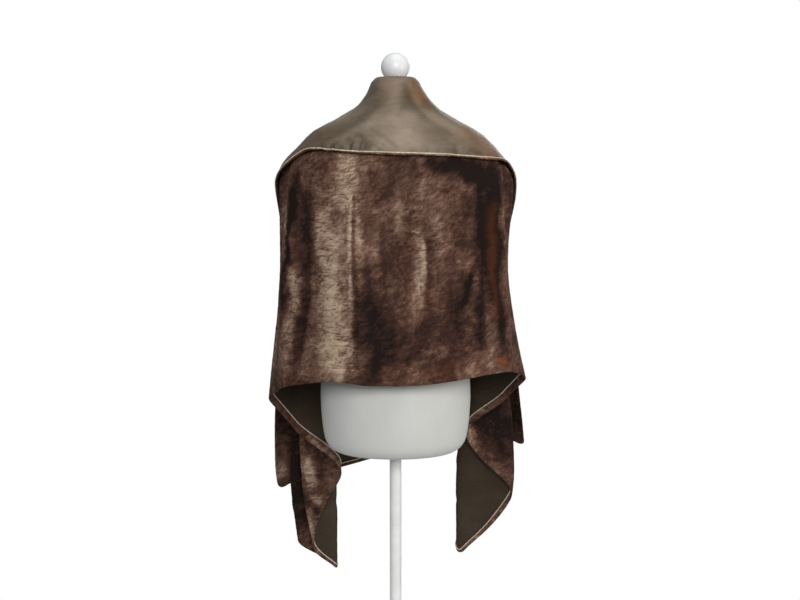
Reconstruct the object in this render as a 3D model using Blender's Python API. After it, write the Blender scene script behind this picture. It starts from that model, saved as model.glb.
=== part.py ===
"""Evening stole, velvet outside and satin inside, worn turned back as a collar on a limbless dress form.

Metres, +Z up. The wearer would face +Y, so the back of the stole looks to -Y. The origin is the middle of
the stand's underside. Heights in the tables are above the underside of the form's torso, as a dressmaker
would take them, and FORM_LIFT puts them above the floor.
"""
import math
from collections import namedtuple

import bmesh
import bpy
from mathutils import Vector
from mathutils.bvhtree import BVHTree

# ---------------------------------------------------------------- driving sizes
FORM_LIFT = 0.720          # floor to the underside of the torso
HALF_LENGTH = 0.900        # half of the stole's long side
PANEL_WIDTH = 0.580        # from the long hem up to the turned-back fold, at the shoulders
COLLAR_WIDTH = 0.220       # from that fold to the piped collar edge
HEM_BORDER = 0.016         # velvet turned over the hem and the two ends
COLLAR_BORDER = 0.004      # velvet turned over the collar edge

VELVET_OUT = 0.0016        # velvet's nap side, below the cloth's middle surface
VELVET_IN = 0.0002         # velvet's back
LINING_IN = 0.0002         # satin's back, on the other side of the middle surface
LINING_OUT = 0.00135       # satin's bright side, level with the turned-over velvet
SEAM_GAP = 0.0004          # satin and velvet border each stop this far from the seam line
SEAM_PRESS = 0.6           # both cloths are this much of their thickness where they are stitched
PIPING_RADIUS = 0.0011
PIPING_RIDE = 0.0029       # piping's centre above the middle surface
PIPING_GAP = 0.00035       # least gap left between the piping and the cloth
SEAT_GAP = 0.0005          # cloth to form, and form to stand

BALL_RADIUS = 0.0295
POLE_RADIUS = 0.0125
BASE_RADIUS = 0.175
BASE_THICK = 0.014

# ---------------------------------------------------------------- how the cloth hangs
# Heights of the levels that the station tables are given at.
CHEST, WAIST, TAIL, TIP = 0.56, 0.36, -0.08, -0.30
SHOULDER_START = 0.66      # above this the cloth lies on the shoulder rings alone
FOLD_RADIUS = 0.0060       # of the soft turn at the edge of each pleat

# One row for each ring over the shoulders: height, half width, depth behind and in front.
Ring = namedtuple("Ring", "z half back front")
RINGS = [
    Ring(0.500, 0.2410, 0.132, 0.150),
    Ring(0.560, 0.2330, 0.130, 0.140),
    Ring(0.600, 0.2150, 0.124, 0.130),
    Ring(0.640, 0.1920, 0.113, 0.117),
    Ring(0.675, 0.1600, 0.098, 0.101),
    Ring(0.700, 0.1120, 0.084, 0.086),
    Ring(0.725, 0.0720, 0.068, 0.070),
    Ring(0.755, 0.0480, 0.052, 0.052),
    Ring(0.790, 0.0335, 0.036, 0.035),
]

# One row for each fold line or turning of the hanging cloth, from the middle of the back round the side to
# the front fold. turn is its bearing on the shoulder rings, in degrees from the back. chest, waist and tail
# are (outwards, forwards) at those levels, and tip is how far out it ends.
Station = namedtuple("Station", "name turn chest waist tail tip")
MAIN = {
    "left": [
        Station("centre back", 0, (0.000, -0.130), (0.000, -0.142), (0.000, -0.156), 0.000),
        Station("back", 38, (0.095, -0.128), (0.095, -0.140), (0.095, -0.152), 0.095),
        Station("back edge", 66, (0.207, -0.096), (0.222, -0.088), (0.210, -0.120), 0.210),
        Station("side valley", 80, (0.203, -0.042), (0.231, -0.046), (0.258, -0.066), 0.258),
        Station("side ridge", 92, (0.237, -0.014), (0.242, -0.008), (0.284, 0.010), 0.284),
        Station("side front", 108, (0.230, 0.046), (0.228, 0.056), (0.218, 0.085), 0.215),
        Station("inner fold 1", 121, (0.204, 0.078), (0.176, 0.096), (0.123, 0.132), 0.123),
        Station("outer fold 1", 127, (0.199, 0.092), (0.204, 0.110), (0.214, 0.156), 0.182),
        Station("inner fold 2", 135, (0.176, 0.106), (0.160, 0.126), (0.139, 0.178), 0.137),
        Station("outer fold 2", 142, (0.166, 0.120), (0.188, 0.138), (0.244, 0.196), 0.222),
        Station("inner fold 3", 150, (0.138, 0.130), (0.142, 0.150), (0.150, 0.214), 0.146),
        Station("outer fold 3", 158, (0.120, 0.141), (0.156, 0.161), (0.210, 0.230), 0.200),
        Station("front fold", 172, (0.036, 0.150), (0.037, 0.172), (0.040, 0.248), 0.040),
    ],
    "right": [
        Station("centre back", 0, (0.000, -0.130), (0.000, -0.142), (0.000, -0.156), 0.000),
        Station("back", 38, (0.095, -0.128), (0.095, -0.140), (0.095, -0.152), 0.095),
        Station("back edge", 66, (0.209, -0.094), (0.218, -0.084), (0.230, -0.110), 0.230),
        Station("side valley", 80, (0.204, -0.040), (0.222, -0.042), (0.290, -0.060), 0.290),
        Station("side ridge", 92, (0.241, -0.014), (0.235, -0.006), (0.325, 0.008), 0.325),
        Station("side front", 108, (0.232, 0.046), (0.222, 0.056), (0.250, 0.082), 0.240),
        Station("inner fold 1", 121, (0.206, 0.078), (0.184, 0.094), (0.156, 0.128), 0.150),
        Station("outer fold 1", 127, (0.201, 0.092), (0.212, 0.108), (0.266, 0.150), 0.226),
        Station("inner fold 2", 135, (0.178, 0.106), (0.168, 0.126), (0.140, 0.176), 0.138),
        Station("outer fold 2", 142, (0.170, 0.120), (0.192, 0.138), (0.238, 0.196), 0.214),
        Station("inner fold 3", 150, (0.144, 0.130), (0.150, 0.150), (0.152, 0.212), 0.150),
        Station("outer fold 3", 158, (0.128, 0.141), (0.164, 0.161), (0.220, 0.228), 0.210),
        Station("front fold", 172, (0.042, 0.150), (0.052, 0.172), (0.080, 0.240), 0.080),
    ],
}
# The collar lies over the main cloth, so it has its own few stations.
COLLAR_STAND_OFF = 0.0105  # collar clear of the cloth below it, on the shoulder rings
COLLAR = {
    "left": [
        Station("centre back", 0, (0.000, -0.146), (0.000, -0.160), (0.000, -0.170), 0.000),
        Station("back", 38, (0.098, -0.144), (0.098, -0.160), (0.098, -0.170), 0.098),
        Station("back edge", 66, (0.212, -0.108), (0.212, -0.120), (0.212, -0.120), 0.212),
        Station("side", 92, (0.246, -0.010), (0.256, -0.004), (0.280, 0.040), 0.280),
        Station("side front", 121, (0.234, 0.088), (0.246, 0.124), (0.280, 0.212), 0.238),
        Station("front", 150, (0.142, 0.158), (0.150, 0.184), (0.168, 0.256), 0.160),
        Station("front fold", 172, (0.034, 0.165), (0.035, 0.187), (0.038, 0.264), 0.038),
    ],
    "right": [
        Station("centre back", 0, (0.000, -0.146), (0.000, -0.160), (0.000, -0.170), 0.000),
        Station("back", 38, (0.098, -0.144), (0.098, -0.160), (0.098, -0.170), 0.098),
        Station("back edge", 66, (0.214, -0.106), (0.214, -0.120), (0.214, -0.120), 0.214),
        Station("side", 92, (0.250, -0.010), (0.260, -0.004), (0.290, 0.040), 0.290),
        Station("side front", 121, (0.236, 0.088), (0.243, 0.124), (0.300, 0.208), 0.296),
        Station("front", 150, (0.148, 0.158), (0.160, 0.184), (0.188, 0.250), 0.188),
        Station("front fold", 172, (0.040, 0.165), (0.050, 0.187), (0.078, 0.256), 0.078),
    ],
}

# One row for each line that runs straight across the cloth, from the long hem to the collar edge.
# u is its distance along the cloth from the middle. The rest say where it lies on the stations above:
# (station number, height) of its hem, of its crest and of the turned-back fold, and then, in the
# collar's stations, of the collar edge.
Rib = namedtuple("Rib", "u hem crest fold edge")
FRONT_FOLD = 12
RIBS = {
    "left": [
        Rib(0.00, (0.00, 0.174), (0.00, 0.640), (0.0, 0.785), (0.00, 0.632)),
        Rib(0.06, (0.63, 0.176), (0.65, 0.640), (2.2, 0.782), (0.60, 0.636)),
        Rib(0.12, (1.25, 0.181), (1.28, 0.640), (5.4, 0.767), (1.25, 0.641)),
        Rib(0.18, (1.85, 0.168), (1.90, 0.635), (8.4, 0.744), (1.78, 0.634)),
        Rib(0.24, (2.70, 0.149), (2.65, 0.630), (11.0, 0.702), (2.50, 0.596)),
        Rib(0.30, (3.65, 0.126), (3.60, 0.600), (11.6, 0.650), (3.35, 0.552)),
        Rib(0.37, (4.45, 0.085), (5.00, 0.520), (12.0, 0.570), (3.85, 0.462)),
        Rib(0.45, (5.15, 0.014), (6.40, 0.360), (12.0, 0.480), (4.00, 0.360)),
        Rib(0.57, (6.00, -0.083), (7.60, 0.170), (12.0, 0.330), (4.00, 0.220)),
        Rib(0.65, (6.36, -0.135), (8.10, 0.080), (12.0, 0.235), (4.00, 0.135)),
        Rib(0.73, (6.68, -0.205), (8.60, -0.010), (12.0, 0.140), (4.00, 0.050)),
        Rib(0.80, (7.02, -0.269), (9.00, -0.090), (12.0, 0.050), (4.00, -0.040)),
        Rib(0.90, (7.95, -0.326), (10.1, -0.190), (12.0, -0.074), (4.00, -0.150)),
    ],
    "right": [
        Rib(0.00, (0.00, 0.174), (0.00, 0.640), (0.0, 0.785), (0.00, 0.632)),
        Rib(0.06, (0.63, 0.177), (0.65, 0.640), (2.2, 0.782), (0.60, 0.630)),
        Rib(0.12, (1.25, 0.184), (1.28, 0.640), (5.4, 0.767), (1.25, 0.625)),
        Rib(0.18, (1.85, 0.192), (1.90, 0.635), (8.4, 0.744), (1.78, 0.622)),
        Rib(0.24, (2.70, 0.186), (2.65, 0.630), (11.0, 0.702), (2.40, 0.618)),
        Rib(0.30, (3.65, 0.170), (3.60, 0.600), (11.6, 0.655), (3.00, 0.600)),
        Rib(0.37, (4.50, 0.136), (5.00, 0.540), (12.0, 0.580), (3.60, 0.520)),
        Rib(0.44, (5.30, 0.076), (6.20, 0.420), (12.0, 0.500), (4.00, 0.420)),
        Rib(0.51, (6.00, 0.008), (7.00, 0.290), (12.0, 0.415), (4.00, 0.330)),
        Rib(0.60, (6.50, -0.070), (7.80, 0.170), (12.0, 0.310), (4.00, 0.230)),
        Rib(0.69, (7.00, -0.146), (8.60, 0.060), (12.0, 0.220), (4.00, 0.130)),
        Rib(0.80, (7.40, -0.228), (9.20, -0.050), (12.0, 0.120), (4.00, 0.040)),
        Rib(0.90, (7.82, -0.288), (9.60, -0.130), (12.0, 0.032), (4.00, -0.040)),
    ],
}

# ---------------------------------------------------------------- the dress form
# One row for each ring of the torso: height, half width, depth behind and in front.
TORSO = [
    Ring(0.000, 0.098, 0.055, 0.058),
    Ring(0.005, 0.124, 0.080, 0.083),
    Ring(0.018, 0.142, 0.096, 0.100),
    Ring(0.042, 0.152, 0.104, 0.108),
    Ring(0.100, 0.158, 0.110, 0.112),
    Ring(0.160, 0.157, 0.110, 0.108),
    Ring(0.240, 0.142, 0.096, 0.098),
    Ring(0.330, 0.118, 0.080, 0.088),
    Ring(0.410, 0.128, 0.082, 0.106),
    Ring(0.480, 0.146, 0.090, 0.124),
    Ring(0.540, 0.160, 0.098, 0.118),
    Ring(0.590, 0.182, 0.104, 0.110),
    Ring(0.622, 0.190, 0.105, 0.106),
]
# Torso rings that carry the cloth: they follow its shoulder rings, just far enough inside to clear it.
SEATED_HEIGHTS = (0.650, 0.675, 0.695, 0.712, 0.732, 0.750, 0.766)
LEAST_INSET = 0.002
SEAT_EASE = 0.0007         # the torso is this much fuller than its steps make it
TORSO_SIDES = 48
ROUND_SIDES = 32

# Turned pieces: (radius, height) up the outside, from the axis at the bottom to the axis at the top.
NECK_CAP = ((0.028, 0.7665), (0.030, 0.7690), (0.029, 0.7735), (0.025, 0.7770), (0.012, 0.7788))
BASE_TOP = 0.030
BASE = ((BASE_RADIUS, 0.0), (BASE_RADIUS, 0.008), (BASE_RADIUS - 0.008, BASE_THICK), (0.034, 0.018),
        (0.022, BASE_TOP))
BALL_HEIGHT = 0.8085       # ball's centre
BALL_FLAT = 0.0290         # from the centre down to the flat that sits on the neck cap

# ---------------------------------------------------------------- meshing
LONG_STEPS = 210           # fine steps along the whole cloth, before it is thinned
PANEL_STEPS = 110
COLLAR_STEPS = 18
LAST_COLUMN = PANEL_STEPS + COLLAR_STEPS + 2
TURN_BULGE = 0.0060        # how far the turned-back fold stands past the two layers
THINNED_FACES = 1500       # triangles left in one surface of the cloth
BEND_CARE = 0.012          # the more, the more points the tight folds keep
EDGE_CARE = 0.016          # the same, beside the hem and the ends
CUT_SNAP = 0.15            # points this near a border line, in lattice steps, are taken as on it
LEAST_OPEN = 0.35          # folds tighter than this have their points moved
PINCH = 1.2                # cloth is thinner where a fold's openness times this is under 1
EASE_REACH = (0.3, 0.7, 1.3, 2.2)
PIPING_SIDES = 4
PIPING_STRAY = 0.0005      # piping runs straight past seam points that are this near its line

# Colour, roughness and metallic value of each material.
VELVET_BROWN = ((0.090, 0.048, 0.036), 0.85, 0.0)
SATIN_OLIVE = ((0.200, 0.160, 0.110), 0.38, 0.0)
PIPING_GOLD = ((0.560, 0.450, 0.300), 0.45, 0.0)
JERSEY_WHITE = ((0.680, 0.700, 0.670), 0.90, 0.0)
STAND_WHITE = ((0.800, 0.800, 0.790), 0.40, 0.0)


def smooth_step(t):
    t = min(max(t, 0.0), 1.0)
    return t * t * (3 - 2 * t)


def through(values, t):
    """Catmull-Rom curve through evenly numbered values (numbers or vectors), at number t."""
    last = len(values) - 1
    i = min(max(int(t), 0), last - 1)
    f = t - i
    b, c = values[i], values[i + 1]
    a = values[i - 1] if i else b + (b - c)
    d = values[i + 2] if i + 2 <= last else c + (c - b)
    return 0.5 * (2 * b + (c - a) * f + (2 * a - 5 * b + 4 * c - d) * f ** 2 + (3 * b - a - 3 * c + d) * f ** 3)


def read_off(places, values, x):
    """Smooth curve through values given at uneven, rising places, read off at x and straight past the ends."""
    last = len(places) - 1
    i = 0
    while i < last - 1 and x > places[i + 1]:
        i += 1

    def slope(k):
        low, high = max(k - 1, 0), min(k + 1, last)
        return (values[high] - values[low]) / (places[high] - places[low])
    if x <= places[0]:
        return values[0] + slope(0) * (x - places[0])
    if x >= places[last]:
        return values[last] + slope(last) * (x - places[last])
    h = places[i + 1] - places[i]
    t = (x - places[i]) / h
    return (values[i] * (1 + 2 * t) * (1 - t) ** 2 + slope(i) * h * t * (1 - t) ** 2
            + values[i + 1] * t * t * (3 - 2 * t) + slope(i + 1) * h * t * t * (t - 1))


def ring_point(turn, z, grow=0.0):
    """Point (outwards, forwards) on the shoulder ring at height z, at a bearing in degrees from the back."""
    heights = [r.z for r in RINGS]
    half = read_off(heights, [r.half for r in RINGS], z) + grow
    angle = math.radians(turn)
    depth = "front" if math.cos(angle) < 0 else "back"
    reach = read_off(heights, [getattr(r, depth) for r in RINGS], z) + grow
    square = 2.0 / (2.0 + 0.7 * smooth_step((0.74 - z) / 0.12))
    sine, cosine = math.sin(angle), math.cos(angle)
    return Vector((half * abs(sine) ** square, -reach * math.copysign(abs(cosine) ** square, cosine)))


def station_point(station, z, grow):
    """Where one station's upright line is at height z, as (outwards, forwards)."""
    if z >= SHOULDER_START:
        return ring_point(station.turn, z, grow)
    tip = Vector((station.tip, station.tail[1]))
    levels = [tip, Vector(station.tail), Vector(station.waist), Vector(station.chest)]
    hanging = read_off([TIP, TAIL, WAIST, CHEST], levels, min(z, CHEST))
    if z <= CHEST:
        return hanging
    share = smooth_step((z - CHEST) / (SHOULDER_START - CHEST))
    return hanging.lerp(ring_point(station.turn, z, grow), share)


def cloth_point(side, stations, number, z, grow=0.0):
    """Point on the hanging cloth at a station number and a height; side is -1 left or +1 right.

    The curve runs through the stations' points, and turns round each narrow pleat at FOLD_RADIUS.
    """
    last = len(stations) - 1
    i = min(max(int(number), 0), last - 1)
    f = number - i
    near = {k: station_point(stations[k], z, grow) for k in range(max(i - 1, 0), min(i + 2, last) + 1)}

    def slope(k):
        before = near[k] - near[k - 1] if k else near[1] - near[0]
        after = near[k + 1] - near[k] if k < last else before
        along = (before + after) / 2
        turn = before.normalized() + after.normalized()
        hairpin = smooth_step(-1.6 * before.normalized().dot(after.normalized()))
        round_turn = turn.normalized() * math.sqrt(6 * FOLD_RADIUS * min(before.length, after.length))
        return along.lerp(round_turn, hairpin)
    plan = (near[i] * (1 + 2 * f) * (1 - f) ** 2 + slope(i) * f * (1 - f) ** 2
            + near[i + 1] * f * f * (3 - 2 * f) + slope(i + 1) * f * f * (f - 1))
    return Vector((side * plan.x, plan.y, z))


def rib_on(side_name, u):
    """The four places of the rib at distance u, read off between the rows."""
    rows = RIBS[side_name]
    places = [r.u for r in rows]
    parts = ("hem", "crest", "fold", "edge")
    return [read_off(places, [Vector(getattr(r, part)) for r in rows], u) for part in parts]


def even_points(points, count):
    """count + 1 points spaced evenly along a polyline."""
    lengths = [0.0]
    for a, b in zip(points, points[1:]):
        lengths.append(lengths[-1] + (b - a).length)
    result, i = [], 0
    for k in range(count + 1):
        want = lengths[-1] * k / count
        while i < len(points) - 2 and lengths[i + 1] < want:
            i += 1
        span = lengths[i + 1] - lengths[i]
        result.append(points[i].lerp(points[i + 1], min(max((want - lengths[i]) / span, 0.0), 1.0)))
    return result


def rib_line(u):
    """Points along the rib at u: the panel from its hem to the fold, then the collar to its edge."""
    name, side = ("left", -1) if u < 0 else ("right", 1)
    hem, crest, fold, edge = rib_on(name, abs(u))
    fine = 200
    route = [hem, crest, fold]
    panel = []
    for i in range(fine + 1):
        number, z = through(route, 2.0 * i / fine)
        panel.append(cloth_point(side, MAIN[name], min(max(number, 0.0), FRONT_FOLD), z))
    share = len(COLLAR[name]) - 1
    turned = Vector((fold_to_collar(fold.x), fold.y))
    collar = []
    for i in range(1, fine // 2 + 1):
        t = 2.0 * i / fine
        number, z = turned.lerp(edge, t)
        collar.append(cloth_point(side, COLLAR[name], min(max(number, 0.0), share), z, COLLAR_STAND_OFF))
    return even_points(panel, PANEL_STEPS), even_points(collar, COLLAR_STEPS)


def fold_to_collar(number):
    """Collar station that has the same bearing as a main station number."""
    turns = through([float(s.turn) for s in MAIN["left"]], number)
    collar_turns = [float(s.turn) for s in COLLAR["left"]]
    for i, (a, b) in enumerate(zip(collar_turns, collar_turns[1:])):
        if turns <= b:
            return i + (turns - a) / (b - a)
    return float(len(collar_turns) - 1)


def turned_edge(below, above):
    """The point that rounds the fold between the last panel point and the first collar point."""
    along = (below[-1] - below[-3]).normalized()
    return (below[-1] + above[0]) / 2 + along * TURN_BULGE


def cloth_lattice():
    """Rows of points over the whole cloth, one row for each rib, from the hem to the collar edge."""
    rows = []
    for k in range(LONG_STEPS + 1):
        below, above = rib_line(HALF_LENGTH * (2.0 * k / LONG_STEPS - 1))
        rows.append(below + [turned_edge(below, above)] + above)
    return rows


def lattice_point(rows, k, j):
    """Point on the lattice between its rows and columns."""
    k = min(max(k, 0.0), LONG_STEPS)
    j = min(max(j, 0.0), LAST_COLUMN)
    row, column = min(int(k), LONG_STEPS - 1), min(int(j), LAST_COLUMN - 1)
    low = rows[row][column].lerp(rows[row][column + 1], j - column)
    high = rows[row + 1][column].lerp(rows[row + 1][column + 1], j - column)
    return low.lerp(high, k - row)


def torso_rings(cloth):
    """Rings of points up the torso, in the form's own heights; cloth is the search tree of the worn cloth."""
    rings = []
    for row in TORSO:
        ring = []
        for k in range(TORSO_SIDES):
            angle = 2 * math.pi * k / TORSO_SIDES
            depth = row.back if math.cos(angle) > 0 else row.front
            ring.append(Vector((row.half * math.sin(angle), -depth * math.cos(angle), row.z)))
        rings.append(ring)
    insets = [max(inset_at(z + lift, cloth) for lift in (-0.008, 0.0, 0.008)) for z in SEATED_HEIGHTS]
    for i, z in enumerate(SEATED_HEIGHTS):
        inset = max(insets[max(i - 1, 0):i + 2]) - SEAT_EASE
        rings.append([seated_point(360.0 * k / TORSO_SIDES, z, inset) for k in range(TORSO_SIDES)])
    return rings


def seated_point(turn, z, inset):
    point = ring_point(min(turn, 360 - turn), z, -inset)
    return Vector((point.x if turn <= 180 else -point.x, point.y, z))


def inset_at(z, cloth):
    """Least inset, in half millimetres, at which the torso clears the cloth all round at this height."""
    inset = LEAST_INSET
    for turn in range(0, 360, 3):
        while True:
            point = seated_point(turn, z, inset)
            core = Vector((0.5 * point.x, 0.5 * point.y, z - 0.03))
            way = point - core
            hit, normal, _, reach = cloth.ray_cast(core + Vector((0, 0, FORM_LIFT)), way.normalized())
            if hit is None or way.length < reach - 1.3 * SEAT_GAP / max(abs(way.normalized().dot(normal)), 0.2):
                break
            inset += 0.0005
    return inset


def round_ring(radius, z, sides=ROUND_SIDES):
    return [Vector((radius * math.sin(2 * math.pi * k / sides), -radius * math.cos(2 * math.pi * k / sides), z))
            for k in range(sides)]


def clear_scene():
    for old in list(bpy.data.objects):
        bpy.data.objects.remove(old, do_unlink=True)


def make_material(name, finish):
    colour, roughness, metallic = finish
    material = bpy.data.materials.new(name)
    material.use_nodes = True
    shader = material.node_tree.nodes["Principled BSDF"]
    shader.inputs["Base Color"].default_value = (*colour, 1.0)
    shader.inputs["Roughness"].default_value = roughness
    shader.inputs["Metallic"].default_value = metallic
    return material


def add_object(name, points, faces, finish):
    """A named object from points and faces, with its own material, lifted to its height above the floor."""
    mesh = bpy.data.meshes.new(name)
    mesh.from_pydata([tuple(p) for p in points], [], faces)
    mesh.update()
    mesh.shade_smooth()
    mesh.set_sharp_from_angle(angle=math.radians(40))
    mesh.materials.append(make_material(name, finish))
    made = bpy.data.objects.new(name, mesh)
    bpy.context.scene.collection.objects.link(made)
    return made


def add_rings(name, rings, finish, lift=FORM_LIFT):
    """A closed solid through rings of points, with flat ends."""
    sides = len(rings[0])
    points = [p + Vector((0, 0, lift)) for ring in rings for p in ring]
    faces = [tuple(reversed(range(sides)))]
    for r in range(len(rings) - 1):
        for k in range(sides):
            low, high = r * sides, (r + 1) * sides
            after = (k + 1) % sides
            faces.append((low + k, low + after, high + after, high + k))
    faces.append(tuple(range((len(rings) - 1) * sides, len(rings) * sides)))
    return add_object(name, points, faces, finish)


def add_turned(name, profile, finish, lift=FORM_LIFT):
    return add_rings(name, [round_ring(radius, z) for radius, z in profile], finish, lift)


def thinned_cloth(rows):
    """The cloth as a bmesh of few triangles, laid out flat: x is the row number and y the column number.

    It is thinned as a surface that stands BEND_CARE off the cloth, so that the tight folds keep their points.
    """
    across = LAST_COLUMN + 1
    faces = [(a, a + 1, a + across + 1, a + across)
             for r in range(LONG_STEPS) for a in range(r * across, (r + 1) * across - 1)]
    mesh = bpy.data.meshes.new("middle")
    mesh.from_pydata([tuple(p) for row in rows for p in row], [], faces)
    mesh.update()
    layer = mesh.attributes.new("number", "FLOAT_VECTOR", "POINT")
    stood_off = []
    for i, vert in enumerate(mesh.vertices):
        row, column = divmod(i, across)
        near_edge = min(row, LONG_STEPS - row, column) < 5
        stood_off.append(vert.co + vert.normal * (EDGE_CARE if near_edge else BEND_CARE))
        layer.data[i].vector = (row, column, 0.0)
    for vert, place in zip(mesh.vertices, stood_off):
        vert.co = place
    holder = bpy.data.objects.new("middle", mesh)
    bpy.context.scene.collection.objects.link(holder)
    thin = holder.modifiers.new("Thin", "DECIMATE")
    thin.ratio = THINNED_FACES / (2.0 * len(faces))
    thin.use_collapse_triangulate = True
    evaluated = holder.evaluated_get(bpy.context.evaluated_depsgraph_get())
    thinned = bmesh.new()
    thinned.from_mesh(evaluated.to_mesh())
    evaluated.to_mesh_clear()
    bpy.data.objects.remove(holder, do_unlink=True)

    number = thinned.verts.layers.float_vector["number"]
    for vert in thinned.verts:
        vert.co = vert[number]
    edge = [v for v in thinned.verts if v.is_boundary]
    for vert in edge:
        ends = [(vert.co.x, 0, 0.0), (LONG_STEPS - vert.co.x, 0, LONG_STEPS),
                (vert.co.y, 1, 0.0), (LAST_COLUMN - vert.co.y, 1, LAST_COLUMN)]
        _, axis, value = min(ends)
        vert.co[axis] = value
    for corner in ((0, 0), (0, LAST_COLUMN), (LONG_STEPS, 0), (LONG_STEPS, LAST_COLUMN)):
        place = Vector((*corner, 0))
        min(edge, key=lambda v: (v.co - place).length).co = place
    unfold(thinned)
    return thinned


def unfold(flat):
    """Ease the points of any triangle that came out turned over."""
    for _ in range(20):
        flat.normal_update()
        turned = [f for f in flat.faces if f.normal.z > -0.5]
        for vert in {v for f in turned for v in f.verts if not v.is_boundary}:
            around = [e.other_vert(vert).co for e in vert.link_edges]
            vert.co = sum(around, Vector()) / len(around)


def border_lines():
    """Column numbers of the border lines at the hem and at the collar edge, and row number of the end's."""
    return (HEM_BORDER / PANEL_WIDTH * PANEL_STEPS, LAST_COLUMN - COLLAR_BORDER / COLLAR_WIDTH * COLLAR_STEPS,
            HEM_BORDER / (2 * HALF_LENGTH) * LONG_STEPS)


def cut_borders(flat):
    """Cut the flat cloth along the inner edge of its turned-over border; returns each face's border flag."""
    low, high, end = border_lines()
    cuts = (((0, low), (0, 1)), ((0, high), (0, 1)), ((end, 0), (1, 0)), ((LONG_STEPS - end, 0), (1, 0)))
    for point, normal in cuts:
        everything = flat.verts[:] + flat.edges[:] + flat.faces[:]
        bmesh.ops.bisect_plane(flat, geom=everything, dist=CUT_SNAP, plane_co=(*point, 0), plane_no=(*normal, 0))
    bmesh.ops.triangulate(flat, faces=flat.faces[:])
    flags = []
    for face in flat.faces:
        centre = face.calc_center_median()
        flags.append(not (low < centre.y < high and end < centre.x < LONG_STEPS - end))
    return flags


def fair_normal(vert):
    """A direction at a vertex that leans to every face round it, even in a tight fold."""
    normals = [f.normal for f in vert.link_faces]
    best = vert.normal.copy()
    for step in range(24):
        worst = min(normals, key=best.dot)
        best = (best + worst * (0.5 / (step + 1))).normalized()
    return best


def openness(vert):
    """1 on flat cloth, less in a fold, and below 0 where no direction leans to every face."""
    normal = fair_normal(vert)
    return min(normal.dot(f.normal) for f in vert.link_faces)


def hang(rows, vert, place):
    """Put a flat point where it hangs; place keeps its flat place."""
    vert.co = lattice_point(rows, place.x, place.y) + Vector((0, 0, FORM_LIFT))


def ease_folds(rows, middle, flats):
    """Slide points along the cloth out of folds that are too tight for its thickness."""
    low, high, end = border_lines()
    fixed = {0: (0.0, LONG_STEPS, end, LONG_STEPS - end), 1: (0.0, LAST_COLUMN, low, high)}
    for vert in [v for v in middle.verts if openness(v) < LEAST_OPEN]:
        near = {v for f in vert.link_faces for v in f.verts}
        home = flats[vert.index].copy()
        locked = [any(abs(home[axis] - line) < CUT_SNAP + 0.01 for line in fixed[axis]) for axis in (0, 1)]
        best = (min(openness(v) for v in near), home)
        for reach in EASE_REACH:
            for k in range(8):
                step = Vector((math.cos(k * math.pi / 4), math.sin(k * math.pi / 4), 0)) * reach
                place = home + Vector([0.0 if axis < 2 and locked[axis] else step[axis] for axis in range(3)])
                flats[vert.index] = place
                if any(turned_over(f, flats) for f in vert.link_faces):
                    continue
                hang(rows, vert, place)
                refresh(vert)
                score = min(openness(v) for v in near)
                if score > best[0]:
                    best = (score, place)
        flats[vert.index] = best[1]
        hang(rows, vert, best[1])
        refresh(vert)


def turned_over(face, flats):
    a, b, c = (flats[v.index] for v in face.verts)
    return (b - a).cross(c - a).z > -0.02


def refresh(vert):
    for face in vert.link_faces:
        face.normal_update()
    for other in {v for f in vert.link_faces for v in f.verts}:
        other.normal_update()


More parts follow.
